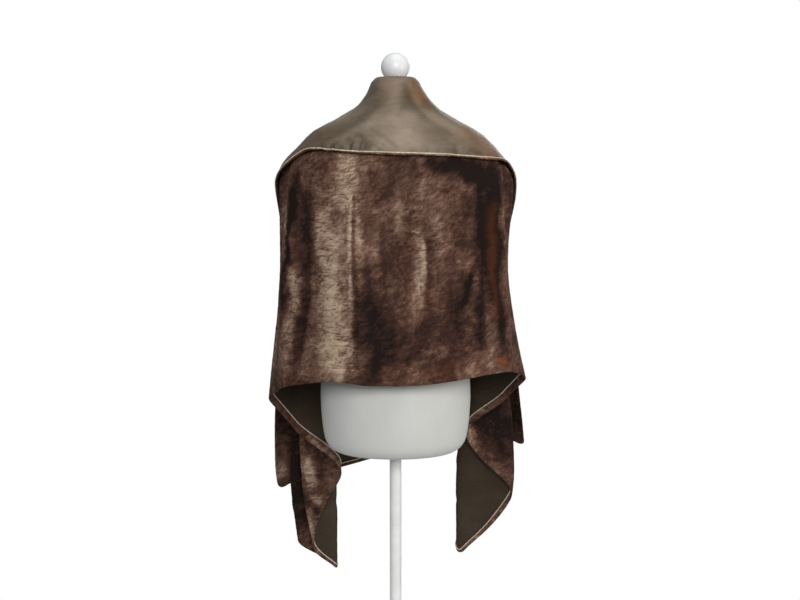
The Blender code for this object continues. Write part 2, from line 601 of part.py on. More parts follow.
def add_stole():
    """Velvet face with its turned-over border, satin lining, and the piping in the seam between them.

    Returns a search tree of the lining's bright side, which is what lies on the form.
    """
    rows = cloth_lattice()
    middle = thinned_cloth(rows)
    hung = middle.verts.layers.float_vector.new("hung")
    for vert in middle.verts:
        vert[hung] = lattice_point(rows, vert.co.x, vert.co.y) + Vector((0, 0, FORM_LIFT))
    border = cut_borders(middle)
    middle.verts.index_update()
    middle.faces.index_update()
    flats = [v.co.copy() for v in middle.verts]
    for vert in middle.verts:
        vert.co = vert[hung]
    middle.normal_update()
    for _ in range(3):
        ease_folds(rows, middle, flats)
    middle.normal_update()
    places = [v.co.copy() for v in middle.verts]
    # Each point's way out of the cloth, shorter where a fold is pinched and the pile is pressed.
    normals = [fair_normal(v) * min(max(openness(v) * PINCH, 0.2), 1.0) for v in middle.verts]
    triangles = [[v.index for v in f.verts] for f in middle.faces]

    seam, rim = {}, []                         # seam: each of its points to the next, border on the right
    for face in middle.faces:
        for loop in face.loops:
            a, b = loop.vert.index, loop.link_loop_next.vert.index
            others = [f for f in loop.edge.link_faces if f is not face]
            if not others:
                rim.append((a, b))
            elif not border[face.index] and border[others[0].index]:
                seam[a] = b
    middle.free()
    for i in seam:
        normals[i] = normals[i] * SEAM_PRESS

    sheet = Sheet()
    for index, triangle in enumerate(triangles):
        sheet.face([("nap", i) for i in reversed(triangle)])
        sheet.face([("over" if border[index] else "back", i) for i in triangle])
    for a, b in rim:
        sheet.face([("over", b), ("over", a), ("nap", a), ("nap", b)])
    for a, b in seam.items():
        sheet.face([("back", b), ("back", a), ("over", a), ("over", b)])
    inward = seam_inward(seam, places, normals)
    offsets = {"nap": -VELVET_OUT, "back": -VELVET_IN, "over": LINING_OUT}
    still = Vector()
    sheet.add("velvet_face", lambda kind, i: places[i] + normals[i] * offsets[kind]
              - (inward.get(i, still) if kind == "over" else still), VELVET_BROWN)

    sheet = Sheet()
    for index, triangle in enumerate(triangles):
        if not border[index]:
            sheet.face([("back", i) for i in reversed(triangle)])
            sheet.face([("bright", i) for i in triangle])
    for a, b in seam.items():
        sheet.face([("bright", b), ("bright", a), ("back", a), ("back", b)])
    offsets = {"back": LINING_IN, "bright": LINING_OUT}
    sheet.add("satin_lining",
              lambda kind, i: places[i] + normals[i] * offsets[kind] + inward.get(i, still), SATIN_OLIVE)

    count = len(places)
    bright = [p + n * LINING_OUT for p, n in zip(places, normals)]
    nap = [p - n * VELVET_OUT for p, n in zip(places, normals)]
    turned = [[i + count for i in reversed(triangle)] for triangle in triangles]
    add_piping(seam, places, normals, BVHTree.FromPolygons(bright + nap, triangles + turned))
    return BVHTree.FromPolygons(bright, triangles)


class Sheet:
    """Gathers faces whose corners are named by a kind and a point number, and makes one object of them."""

    def __init__(self):
        self.corners = {}
        self.faces = []

    def face(self, corners):
        self.faces.append([self.corners.setdefault(c, len(self.corners)) for c in corners])

    def add(self, name, place, finish):
        return add_object(name, [place(*c) for c in self.corners], self.faces, finish)


def seam_inward(seam, places, normals):
    """How far each seam point moves in, along the cloth and square to the seam."""
    before = {b: a for a, b in seam.items()}
    moves = {}
    for i in seam:
        along = (places[seam[i]] - places[i]).normalized() + (places[i] - places[before[i]]).normalized()
        moves[i] = normals[i].cross(along).normalized() * normals[i].length * SEAM_GAP
    return moves


def seam_route(seam, places):
    """The seam's points in order, without those that lie on the straight between their neighbours."""
    start = next(iter(seam))
    loop, i = [start], seam[start]
    while i != start:
        loop.append(i)
        i = seam[i]
    route, k = [0], 0
    while k < len(loop) - 1:
        ahead = k + 1
        while ahead + 1 < len(loop) and straight(places, loop, k, ahead + 1):
            ahead += 1
        route.append(ahead)
        k = ahead
    return [loop[k] for k in route]


def straight(places, loop, first, last):
    """Whether the points between two of the loop keep within PIPING_STRAY of the line that joins them."""
    a, b = places[loop[first]], places[loop[last]]
    along = (b - a).normalized()
    return all((places[loop[m]] - a).cross(along).length < PIPING_STRAY for m in range(first + 1, last))


def add_piping(seam, places, normals, cloth):
    """A slim tube round the seam, on the satin side, pinched where a fold of the cloth closes on it."""
    route = seam_route(seam, places)

    def room(point):
        return cloth.find_nearest(point)[3]
    centres = []
    for i in route:
        rides = [PIPING_RIDE + lift for lift in (0.0, -0.0003, 0.0004, -0.0006, 0.0010, 0.0016, 0.0022)]
        tries = [places[i] + normals[i].normalized() * ride for ride in rides]
        free = [p for p in tries if room(p) > PIPING_RADIUS + PIPING_GAP]
        centres.append(free[0] if free else max(tries, key=room))
    rings, count = [], len(route)
    for k, i in enumerate(route):
        centre, after, before = centres[k], centres[(k + 1) % count], centres[k - 1]
        along = ((after - centre).normalized() + (centre - before).normalized()).normalized()
        up = (normals[i] - along * along.dot(normals[i])).normalized()
        across = along.cross(up)
        tightest = min(room(centre.lerp(other, t)) for other in (before, after) for t in (0, 0.2, 0.4, 0.6))
        radius = max(min(PIPING_RADIUS, tightest - PIPING_GAP), 0.0002)
        rings.append([centre + radius * (up * math.cos(t) + across * math.sin(t))
                      for t in (2 * math.pi * n / PIPING_SIDES for n in range(PIPING_SIDES))])
    points = [p for ring in rings for p in ring]
    faces = []
    for k in range(count):
        here, there = k * PIPING_SIDES, (k + 1) % count * PIPING_SIDES
        for n in range(PIPING_SIDES):
            m = (n + 1) % PIPING_SIDES
            faces.append((here + n, here + m, there + m, there + n))
    add_object("edge_piping", points, faces, PIPING_GOLD)


def add_ball():
    rings = []
    lowest = math.acos(BALL_FLAT / BALL_RADIUS)
    steps = 12
    for k in range(steps + 1):
        angle = lowest + (math.pi - 2 * lowest) * k / steps
        rings.append(round_ring(BALL_RADIUS * math.sin(angle), BALL_HEIGHT - BALL_RADIUS * math.cos(angle)))
    return add_rings("neck_ball", rings, STAND_WHITE)


def main():
    clear_scene()
    add_rings("form_torso", torso_rings(add_stole()), JERSEY_WHITE)
    add_turned("neck_cap", NECK_CAP, STAND_WHITE)
    add_ball()
    pole_top = FORM_LIFT - SEAT_GAP
    add_turned("stand_pole", ((POLE_RADIUS, BASE_TOP + SEAT_GAP), (POLE_RADIUS, pole_top)), STAND_WHITE, 0.0)
    add_turned("stand_base", BASE, STAND_WHITE, 0.0)


if __name__ == "__main__":
    main()
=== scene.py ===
import math
from collections import namedtuple

import bpy
import numpy as np
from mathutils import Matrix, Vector, noise


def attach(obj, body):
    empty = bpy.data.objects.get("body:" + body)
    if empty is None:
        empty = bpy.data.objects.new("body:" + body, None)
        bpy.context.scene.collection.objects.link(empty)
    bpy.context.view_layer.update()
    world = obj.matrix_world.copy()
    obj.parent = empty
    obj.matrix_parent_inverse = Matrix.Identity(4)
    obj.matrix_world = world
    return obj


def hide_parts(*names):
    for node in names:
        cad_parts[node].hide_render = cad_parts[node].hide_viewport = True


# Evening stole, crushed velvet outside and satin inside, worn turned back as a collar on a dress form.
# Metres, +Z up. The wearer would face +Y. Heights in the tables are above the underside of the form.

FORM_LIFT = 0.720          # floor to the underside of the torso
HALF_LENGTH = 0.900        # half of the stole's long side
PANEL_WIDTH = 0.580        # from the long hem up to the turned-back fold
COLLAR_WIDTH = 0.220       # from that fold to the piped collar edge
HEM_BORDER = 0.016         # velvet turned over the hem, narrower towards the two tips
TIP_BORDER = 0.007         # velvet turned over at the tips and the two ends
CORNER_TURN = 0.020        # the four corners of the cloth are turned by this much
COLLAR_BORDER = 0.004      # velvet turned over the collar edge
NAP_SIDE = 0.0015          # velvet's nap, off the cloth's middle surface
SATIN_SIDE = 0.0012        # satin's bright side, off the middle surface the other way
SATIN_RIM = 0.0003         # the satin's edge, pressed down into the seam
PIPING_RADIUS = 0.0014
PIPING_RIDE = 0.0022       # piping's centre above the middle surface
PIPING_SIDES = 8
# The velvet's turned border, outwards past the rim, then back over to the seam:
# (share of the border, off the middle surface).
BORDER_PROFILE = (
    (-0.055, -0.0010), (-0.080, 0.0), (-0.055, 0.0011), (0.00, 0.0016),
    (0.35, 0.0016), (0.80, 0.0015), (0.97, 0.0012), (1.00, 0.0002),
)

# ---------------------------------------------------------------- how the cloth hangs
CHEST, WAIST, TAIL, TIP = 0.56, 0.36, -0.08, -0.30
SHOULDER_START = 0.66
FOLD_RADIUS = 0.0060
FOLD_BEND = 25.0           # cloth that bends more than this, in radians to the metre, is a fold's edge
HAIRPIN = 1.6              # how soon a sharp turn of the cloth is laid as a round fold
ROUND_NECK = 0.74          # shoulder rings are ovals above this height
SQUARE_FADE = 0.12         # and at their squarest this far below it
SQUARENESS = 0.7

# Level outline of the shoulders or the torso: height, half width, and depth behind and before its middle.
Ring = namedtuple("Ring", "z half back front")
RINGS = [
    Ring(0.500, 0.2410, 0.132, 0.150),
    Ring(0.560, 0.2330, 0.130, 0.140),
    Ring(0.600, 0.2150, 0.124, 0.130),
    Ring(0.640, 0.1920, 0.113, 0.117),
    Ring(0.675, 0.1600, 0.098, 0.101),
    Ring(0.700, 0.1120, 0.084, 0.086),
    Ring(0.725, 0.0720, 0.068, 0.070),
    Ring(0.755, 0.0480, 0.052, 0.052),
    Ring(0.790, 0.0335, 0.036, 0.035),
]

# Fold lines and turnings of the hanging cloth, from the middle of the back to the front fold: bearing on
# the shoulder rings in degrees, then (outwards, forwards) at the chest, waist and tail, and how far out at
# the tip.
Station = namedtuple("Station", "name turn chest waist tail tip")
MAIN = {
    "left": [
        Station("centre back", 0, (0.000, -0.130), (0.000, -0.142), (0.000, -0.156), 0.000),
        Station("back", 38, (0.095, -0.128), (0.095, -0.140), (0.095, -0.152), 0.095),
        Station("back edge", 66, (0.207, -0.096), (0.222, -0.088), (0.210, -0.120), 0.210),
        Station("side valley", 80, (0.203, -0.042), (0.231, -0.046), (0.258, -0.066), 0.258),
        Station("side ridge", 92, (0.237, -0.014), (0.242, -0.008), (0.284, 0.010), 0.284),
        Station("side front", 108, (0.230, 0.046), (0.228, 0.056), (0.218, 0.085), 0.215),
        Station("inner fold 1", 121, (0.204, 0.078), (0.176, 0.096), (0.123, 0.132), 0.123),
        Station("outer fold 1", 127, (0.199, 0.092), (0.204, 0.110), (0.214, 0.156), 0.182),
        Station("inner fold 2", 135, (0.176, 0.106), (0.160, 0.126), (0.139, 0.178), 0.137),
        Station("outer fold 2", 142, (0.166, 0.120), (0.188, 0.138), (0.244, 0.196), 0.222),
        Station("inner fold 3", 150, (0.138, 0.130), (0.142, 0.150), (0.150, 0.214), 0.146),
        Station("outer fold 3", 158, (0.120, 0.141), (0.156, 0.161), (0.210, 0.230), 0.200),
        Station("front fold", 172, (0.036, 0.150), (0.037, 0.172), (0.040, 0.248), 0.040),
    ],
    "right": [
        Station("centre back", 0, (0.000, -0.130), (0.000, -0.142), (0.000, -0.156), 0.000),
        Station("back", 38, (0.095, -0.128), (0.095, -0.140), (0.095, -0.152), 0.095),
        Station("back edge", 66, (0.209, -0.094), (0.218, -0.084), (0.230, -0.110), 0.230),
        Station("side valley", 80, (0.204, -0.040), (0.222, -0.042), (0.290, -0.060), 0.290),
        Station("side ridge", 92, (0.241, -0.014), (0.235, -0.006), (0.325, 0.008), 0.325),
        Station("side front", 108, (0.232, 0.046), (0.222, 0.056), (0.250, 0.082), 0.240),
        Station("inner fold 1", 121, (0.206, 0.078), (0.184, 0.094), (0.156, 0.128), 0.150),
        Station("outer fold 1", 127, (0.201, 0.092), (0.212, 0.108), (0.266, 0.150), 0.226),
        Station("inner fold 2", 135, (0.178, 0.106), (0.168, 0.126), (0.140, 0.176), 0.138),
        Station("outer fold 2", 142, (0.170, 0.120), (0.192, 0.138), (0.238, 0.196), 0.214),
        Station("inner fold 3", 150, (0.144, 0.130), (0.150, 0.150), (0.152, 0.212), 0.150),
        Station("outer fold 3", 158, (0.128, 0.141), (0.164, 0.161), (0.220, 0.228), 0.210),
        Station("front fold", 172, (0.042, 0.150), (0.052, 0.172), (0.080, 0.240), 0.080),
    ],
}
COLLAR_STAND_OFF = 0.0105  # collar clear of the cloth below it, on the shoulder rings
COLLAR = {
    "left": [
        Station("centre back", 0, (0.000, -0.146), (0.000, -0.160), (0.000, -0.170), 0.000),
        Station("back", 38, (0.098, -0.144), (0.098, -0.160), (0.098, -0.170), 0.098),
        Station("back edge", 66, (0.212, -0.108), (0.212, -0.120), (0.212, -0.120), 0.212),
        Station("side", 92, (0.246, -0.010), (0.256, -0.004), (0.280, 0.040), 0.280),
        Station("side front", 121, (0.234, 0.088), (0.246, 0.124), (0.280, 0.212), 0.238),
        Station("front", 150, (0.142, 0.158), (0.150, 0.184), (0.168, 0.256), 0.160),
        Station("front fold", 172, (0.034, 0.165), (0.035, 0.187), (0.038, 0.264), 0.038),
    ],
    "right": [
        Station("centre back", 0, (0.000, -0.146), (0.000, -0.160), (0.000, -0.170), 0.000),
        Station("back", 38, (0.098, -0.144), (0.098, -0.160), (0.098, -0.170), 0.098),
        Station("back edge", 66, (0.214, -0.106), (0.214, -0.120), (0.214, -0.120), 0.214),
        Station("side", 92, (0.250, -0.010), (0.260, -0.004), (0.290, 0.040), 0.290),
        Station("side front", 121, (0.236, 0.088), (0.243, 0.124), (0.300, 0.208), 0.296),
        Station("front", 150, (0.148, 0.158), (0.160, 0.184), (0.188, 0.250), 0.188),
        Station("front fold", 172, (0.040, 0.165), (0.050, 0.187), (0.078, 0.256), 0.078),
    ],
}

# Lines across the cloth, from the long hem to the collar edge: u is the distance along the cloth from its
# middle, then (station number, height) of its hem, its crest, the turned-back fold and the collar edge.
Rib = namedtuple("Rib", "u hem crest fold edge")
RIBS = {
    "left": [
        Rib(0.00, (0.00, 0.174), (0.00, 0.640), (0.0, 0.785), (0.00, 0.632)),
        Rib(0.06, (0.63, 0.176), (0.65, 0.640), (2.2, 0.782), (0.60, 0.636)),
        Rib(0.12, (1.25, 0.181), (1.28, 0.640), (5.4, 0.767), (1.25, 0.641)),
        Rib(0.18, (1.85, 0.168), (1.90, 0.635), (8.4, 0.744), (1.78, 0.634)),
        Rib(0.24, (2.70, 0.149), (2.65, 0.630), (11.0, 0.702), (2.50, 0.596)),
        Rib(0.30, (3.65, 0.126), (3.60, 0.600), (11.6, 0.650), (3.35, 0.552)),
        Rib(0.37, (4.45, 0.085), (5.00, 0.520), (12.0, 0.570), (3.85, 0.462)),
        Rib(0.45, (5.15, 0.014), (6.40, 0.360), (12.0, 0.480), (4.00, 0.360)),
        Rib(0.57, (6.00, -0.083), (7.60, 0.170), (12.0, 0.330), (4.00, 0.220)),
        Rib(0.65, (6.36, -0.135), (8.10, 0.080), (12.0, 0.235), (4.00, 0.135)),
        Rib(0.73, (6.68, -0.205), (8.60, -0.010), (12.0, 0.140), (4.00, 0.050)),
        Rib(0.80, (7.02, -0.269), (9.00, -0.090), (12.0, 0.050), (4.00, -0.040)),
        Rib(0.90, (7.95, -0.326), (10.1, -0.190), (12.0, -0.074), (4.00, -0.150)),
    ],
    "right": [
        Rib(0.00, (0.00, 0.174), (0.00, 0.640), (0.0, 0.785), (0.00, 0.632)),
        Rib(0.06, (0.63, 0.177), (0.65, 0.640), (2.2, 0.782), (0.60, 0.630)),
        Rib(0.12, (1.25, 0.184), (1.28, 0.640), (5.4, 0.767), (1.25, 0.625)),
        Rib(0.18, (1.85, 0.192), (1.90, 0.635), (8.4, 0.744), (1.78, 0.622)),
        Rib(0.24, (2.70, 0.186), (2.65, 0.630), (11.0, 0.702), (2.40, 0.618)),
        Rib(0.30, (3.65, 0.170), (3.60, 0.600), (11.6, 0.655), (3.00, 0.600)),
        Rib(0.37, (4.50, 0.136), (5.00, 0.540), (12.0, 0.580), (3.60, 0.520)),
        Rib(0.44, (5.30, 0.076), (6.20, 0.420), (12.0, 0.500), (4.00, 0.420)),
        Rib(0.51, (6.00, 0.008), (7.00, 0.290), (12.0, 0.415), (4.00, 0.330)),
        Rib(0.60, (6.50, -0.070), (7.80, 0.170), (12.0, 0.310), (4.00, 0.230)),
        Rib(0.69, (7.00, -0.146), (8.60, 0.060), (12.0, 0.220), (4.00, 0.130)),
        Rib(0.80, (7.40, -0.228), (9.20, -0.050), (12.0, 0.120), (4.00, 0.040)),
        Rib(0.90, (7.82, -0.288), (9.60, -0.130), (12.0, 0.032), (4.00, -0.040)),
    ],
}

LONG_STEPS = 430           # lattice rows along the whole cloth
PANEL_STEPS = 146
COLLAR_STEPS = 52
LAST_COLUMN = PANEL_STEPS + COLLAR_STEPS + 2
TURN_BULGE = 0.0060        # how far the turned-back fold stands past the two layers
RIB_STEPS = 200            # points worked out along a panel's line before they are spaced evenly
MIDDLE_EASE = 8            # rows each side of the middle of the back that are smoothed together
SWAY_TOP = 0.60            # the cloth leans about below this height
SWAY_FADE = 0.14           # and fully from this far below it
SWAY_REACH = 0.0045
SWAY_SCALE = (10.0, 10.0, 2.6)
NOISE_SEED = 1             # any whole number but 0, which would seed the noise by the clock

# ---------------------------------------------------------------- creases
# A crease is (line, half width, height). On the back its line is of (across, height) places as the back is
# seen, from the middle and above the form's underside. The crease's own height is out of the side that
# shows: a ridge above 0, a trough below.
BACK_CREASES = [
    ([(-0.086, 0.57), (-0.088, 0.46), (-0.084, 0.34), (-0.08, 0.21)], 0.0052, 0.003),
    ([(-0.165, 0.6), (-0.168, 0.48), (-0.17, 0.36), (-0.182, 0.27), (-0.204, 0.16)], 0.013, -0.0054),
    ([(-0.118, 0.44), (-0.11, 0.3), (-0.106, 0.16)], 0.027, 0.005),
    ([(-0.056, 0.5), (-0.042, 0.34), (-0.022, 0.16)], 0.016, -0.0042),
    ([(0.05, 0.5), (0.061, 0.42), (0.056, 0.33)], 0.008, 0.003),
    ([(0.03, 0.56), (0.038, 0.44), (0.026, 0.28)], 0.014, -0.0022),
    ([(0.164, 0.41), (0.15, 0.37), (0.136, 0.325)], 0.006, -0.0036),
    ([(0.172, 0.6), (0.178, 0.44), (0.184, 0.24)], 0.011, -0.0046),
    ([(0.104, 0.55), (0.112, 0.4), (0.098, 0.22)], 0.024, 0.003),
    ([(-0.206, 0.4), (-0.196, 0.36), (-0.188, 0.33)], 0.0055, 0.0026),
    ([(0.17, 0.586), (0.1, 0.552), (0.02, 0.536)], 0.01, -0.0022),
    ([(-0.175, 0.617), (-0.13, 0.613), (-0.085, 0.606)], 0.003, -0.0014),
    ([(-0.05, 0.325), (0.05, 0.343), (0.147, 0.374)], 0.004, 0.0013),
    ([(-0.03, 0.265), (0.07, 0.285), (0.167, 0.31)], 0.004, -0.0012),
    ([(0.01, 0.215), (0.11, 0.232), (0.2, 0.256)], 0.0048, 0.0013),
    ([(0.04, 0.3), (0.12, 0.322), (0.18, 0.352)], 0.0036, -0.001),
    ([(0.02, 0.19), (0.12, 0.2), (0.215, 0.214)], 0.0042, -0.001),
]
# Short cross troughs, crushed into the nap: (from, to, height, rise in its middle).
CRUSH_LINES = [
    (-0.195, -0.085, 0.557, -0.01), (-0.16, -0.088, 0.487, -0.003), (-0.19, -0.085, 0.42, -0.001),
    (-0.15, -0.095, 0.52, 0.004), (-0.205, -0.15, 0.5, 0.004), (-0.175, -0.11, 0.455, -0.003),
    (-0.15, -0.07, 0.392, 0.003), (-0.185, -0.12, 0.376, -0.002), (-0.14, -0.06, 0.352, 0.002),
    (-0.16, -0.085, 0.336, -0.002), (-0.15, -0.05, 0.318, 0.003), (-0.165, -0.09, 0.303, -0.002),
    (-0.14, -0.055, 0.29, 0.002), (-0.16, -0.08, 0.275, -0.001), (-0.15, -0.06, 0.262, 0.003),
    (-0.17, -0.095, 0.248, 0.001), (-0.145, -0.05, 0.236, -0.002), (-0.17, -0.09, 0.222, 0.002),
    (-0.15, -0.06, 0.208, 0.001), (-0.02, 0.06, 0.52, 0.006), (0.01, 0.085, 0.482, -0.006),
    (0.06, 0.15, 0.462, 0.008), (-0.05, 0.02, 0.44, -0.004), (0.095, 0.17, 0.5, -0.006),
    (0.08, 0.16, 0.41, 0.008), (-0.045, 0.04, 0.398, 0.004),
]
COLLAR_CREASES = [
    ([(-0.15, 0.634), (-0.143, 0.656)], 0.0036, 0.0018),
    ([(-0.137, 0.632), (-0.131, 0.66)], 0.0034, -0.0024),
    ([(-0.122, 0.634), (-0.119, 0.662)], 0.0034, 0.002),
    ([(-0.096, 0.638), (-0.107, 0.657)], 0.0036, -0.0026),
    ([(-0.085, 0.636), (-0.096, 0.66)], 0.0036, 0.0022),
    ([(-0.069, 0.636), (-0.088, 0.664)], 0.0044, -0.0036),
    ([(-0.056, 0.638), (-0.078, 0.668)], 0.0044, 0.0026),
    ([(-0.012, 0.637), (-0.036, 0.652), (-0.068, 0.672)], 0.0052, -0.003),
    ([(-0.002, 0.645), (-0.03, 0.662), (-0.06, 0.684)], 0.006, 0.0022),
    ([(-0.03, 0.745), (-0.052, 0.722), (-0.1, 0.7), (-0.165, 0.664)], 0.014, 0.004),
    ([(-0.024, 0.738), (-0.042, 0.712), (-0.086, 0.686), (-0.14, 0.652)], 0.011, -0.0036),
    ([(0.036, 0.78), (0.052, 0.748), (0.086, 0.712), (0.16, 0.672)], 0.013, 0.0036),
    ([(0.024, 0.775), (0.036, 0.742), (0.066, 0.708), (0.13, 0.668)], 0.01, -0.003),
    ([(-0.04, 0.712), (0.01, 0.719), (0.052, 0.708)], 0.008, 0.0018),
    ([(0.002, 0.78), (0.004, 0.73), (-0.004, 0.68)], 0.02, 0.0016),
    ([(0.04, 0.646), (0.1, 0.642), (0.17, 0.634)], 0.006, 0.0014),
    ([(0.118, 0.626), (0.126, 0.654)], 0.004, -0.0016),
    ([(-0.19, 0.622), (-0.206, 0.59), (-0.226, 0.56)], 0.009, 0.003),
    ([(0.205, 0.626), (0.196, 0.652), (0.176, 0.676)], 0.008, 0.0026),
]
# On the hanging ends the places are (along, across) on the cloth itself, from the middle of its length and
# from the long hem, the same on both sides. Past PANEL_WIDTH they are on the collar.
END_CREASES = [
    ([(0.33, 0.05), (0.4, 0.16), (0.45, 0.3)], 0.012, 0.0022),
    ([(0.42, 0.02), (0.52, 0.14), (0.6, 0.3)], 0.01, -0.002),
    ([(0.55, 0.06), (0.62, 0.18), (0.68, 0.34)], 0.012, 0.0022),
    ([(0.66, 0.04), (0.72, 0.16), (0.8, 0.3)], 0.01, -0.0018),
    ([(0.74, 0.03), (0.8, 0.12), (0.87, 0.22)], 0.009, 0.0018),
    ([(0.5, 0.4), (0.62, 0.42), (0.74, 0.47)], 0.01, 0.0016),
    ([(0.6, 0.5), (0.72, 0.51), (0.84, 0.54)], 0.009, -0.0014),
    ([(0.22, 0.64), (0.38, 0.655), (0.62, 0.64), (0.88, 0.66)], 0.015, 0.0048),
    ([(0.3, 0.688), (0.46, 0.7), (0.66, 0.684), (0.86, 0.7)], 0.012, -0.0036),
    ([(0.26, 0.73), (0.44, 0.742), (0.64, 0.728), (0.84, 0.738)], 0.013, 0.004),
    ([(0.48, 0.765), (0.66, 0.77), (0.86, 0.76)], 0.01, -0.0026),
    ([(0.15, 0.61), (0.21, 0.68), (0.25, 0.76)], 0.012, 0.003),
    ([(0.19, 0.6), (0.26, 0.66), (0.31, 0.74)], 0.011, -0.0026),
    ([(0.5, 0.6), (0.66, 0.606), (0.84, 0.6)], 0.009, 0.0022),
]

CRUSH_DEPTH, CRUSH_WIDTH = 0.0013, 0.0024
RIGHT_END_SHIFT = 0.012    # the right end's creases lie this much further along than the left one's
LINE_END = 0.15            # how much of a crease or stroke is left at its two ends
# Small unevenness of the whole cloth: (spots to the metre each way, seed, height).
UNEVEN = (((34.0, 34.0, 14.0), 2, 0.0009), ((60.0, 60.0, 120.0), 3, 0.0005))
# What is laid on the back is gone by these depths towards the front, and fades over this much before them.
BACK_ENDS = {"panel": -0.01, "collar": 0.03}
BACK_FADE = 0.05
# Where the collar covers the cloth and in the turned-back fold, creases are held down.
COVERED_FROM, COVERED_FADE, FOLD_FADE = 0.4, 0.03, 0.02
HELD_DOWN = 0.9

# ---------------------------------------------------------------- painted light and shade, on pile and satin
# A stroke is (line, half width, amount), with lines in the same (across, height) places. It says how much
# painted highlight (lit), painted shade (dark) or painted warm glow (warm) is laid into the colour there.
BACK_PAINTED_LIGHT = {
    "lit": [
        ([(-0.096, 0.66), (-0.096, 0.595), (-0.1, 0.52)], 0.025, 1.2),
        ([(-0.16, 0.61), (-0.15, 0.56), (-0.12, 0.54)], 0.024, 0.38),
        ([(-0.14, 0.54), (-0.138, 0.48), (-0.134, 0.4)], 0.013, 0.85),
        ([(-0.09, 0.58), (-0.088, 0.46), (-0.083, 0.3)], 0.0024, 0.62),
        ([(-0.074, 0.54), (-0.07, 0.45), (-0.072, 0.35)], 0.01, 0.6),
        ([(-0.124, 0.48), (-0.12, 0.33), (-0.112, 0.19)], 0.03, 0.85),
        ([(-0.1, 0.36), (-0.094, 0.26), (-0.1, 0.19)], 0.018, 0.45),
        ([(-0.15, 0.26), (-0.11, 0.212), (-0.09, 0.2)], 0.024, 0.5),
        ([(0.068, 0.474), (0.055, 0.436), (0.056, 0.4)], 0.006, 0.66),
        ([(0.06, 0.4), (0.044, 0.352)], 0.0034, 0.42),
        ([(-0.02, 0.55), (0.04, 0.49), (0.11, 0.44)], 0.056, 0.34),
        ([(-0.206, 0.4), (-0.199, 0.36), (-0.19, 0.31)], 0.009, 0.75),
        ([(-0.2, 0.4), (-0.206, 0.33), (-0.218, 0.24)], 0.014, 0.8),
        ([(-0.217, 0.57), (-0.227, 0.47)], 0.008, 1.1),
        ([(-0.186, 0.52), (-0.19, 0.44)], 0.007, 0.4),
        ([(-0.18, 0.6), (-0.176, 0.56)], 0.02, 0.34),
        ([(-0.226, 0.3), (-0.23, 0.17)], 0.02, 0.3),
        ([(0.212, 0.56), (0.214, 0.47)], 0.007, 0.3),
    ],
    "dark": [
        ([(-0.156, 0.54), (-0.162, 0.47), (-0.17, 0.36), (-0.184, 0.27), (-0.206, 0.17)], 0.013, 0.06),
        ([(-0.048, 0.37), (-0.034, 0.27), (-0.004, 0.2)], 0.034, 0.62),
        ([(0.05, 0.618), (0.12, 0.608), (0.2, 0.592)], 0.02, 1.15),
        ([(0.178, 0.614), (0.186, 0.48), (0.194, 0.33)], 0.014, 1.0),
        ([(0.154, 0.395), (0.142, 0.325)], 0.012, 0.6),
        ([(0.06, 0.32), (0.12, 0.28), (0.17, 0.23)], 0.07, 0.24),
        ([(0.02, 0.3), (0.03, 0.22)], 0.04, 0.22),
        ([(-0.194, 0.606), (-0.213, 0.483), (-0.228, 0.33)], 0.0045, 0.9),
        ([(0.2, 0.6), (0.204, 0.48), (0.208, 0.35), (0.222, 0.24)], 0.007, 0.8),
    ],
    "warm": [
        ([(0.19, 0.54), (0.197, 0.42), (0.204, 0.3)], 0.0075, 0.32),
        ([(0.206, 0.222), (0.224, 0.208)], 0.0085, 1.0),
        ([(-0.02, 0.19), (0.08, 0.192), (0.18, 0.212)], 0.016, 0.14),
        ([(0.03, 0.365), (0.062, 0.345)], 0.02, 0.16),
        ([(-0.23, 0.16), (-0.19, 0.185)], 0.016, 0.12),
    ],
}
# Painted sheen, painted shade and painted warm reflection on the satin collar.
COLLAR_SHEEN = {
    "lit": [
        ([(0.0, 0.72), (0.01, 0.64)], 0.05, 0.42),
        ([(-0.06, 0.69), (0.06, 0.686)], 0.05, 0.34),
        ([(-0.11, 0.65), (0.02, 0.648), (0.13, 0.64)], 0.018, 0.42),
        ([(-0.002, 0.792), (0.004, 0.735)], 0.02, 0.55),
    ],
    "dark": [
        ([(-0.04, 0.775), (-0.054, 0.745), (-0.08, 0.722)], 0.012, 0.26),
        ([(-0.15, 0.676), (-0.205, 0.634), (-0.238, 0.56)], 0.026, 0.66),
        ([(0.06, 0.735), (0.078, 0.716)], 0.007, 0.5),
    ],
    "warm": [
        ([(-0.004, 0.79), (-0.006, 0.74)], 0.026, 0.16),
        ([(0.032, 0.784), (0.048, 0.752), (0.086, 0.718)], 0.014, 0.9),
        ([(0.12, 0.696), (0.186, 0.66), (0.224, 0.61)], 0.03, 0.62),
        ([(-0.14, 0.684), (-0.2, 0.64), (-0.222, 0.59)], 0.03, 0.4),
    ],
}
# Where the satin is gathered by its piping: painted shade and a bump along its puckers.
COLLAR_GATHERS = [
    ([(-0.152, 0.64), (-0.1, 0.642), (-0.06, 0.642)], 0.012, 1.1),
    ([(-0.06, 0.642), (-0.02, 0.64)], 0.011, 0.5),
    ([(0.02, 0.636), (0.09, 0.634), (0.19, 0.628)], 0.008, 0.45),
]
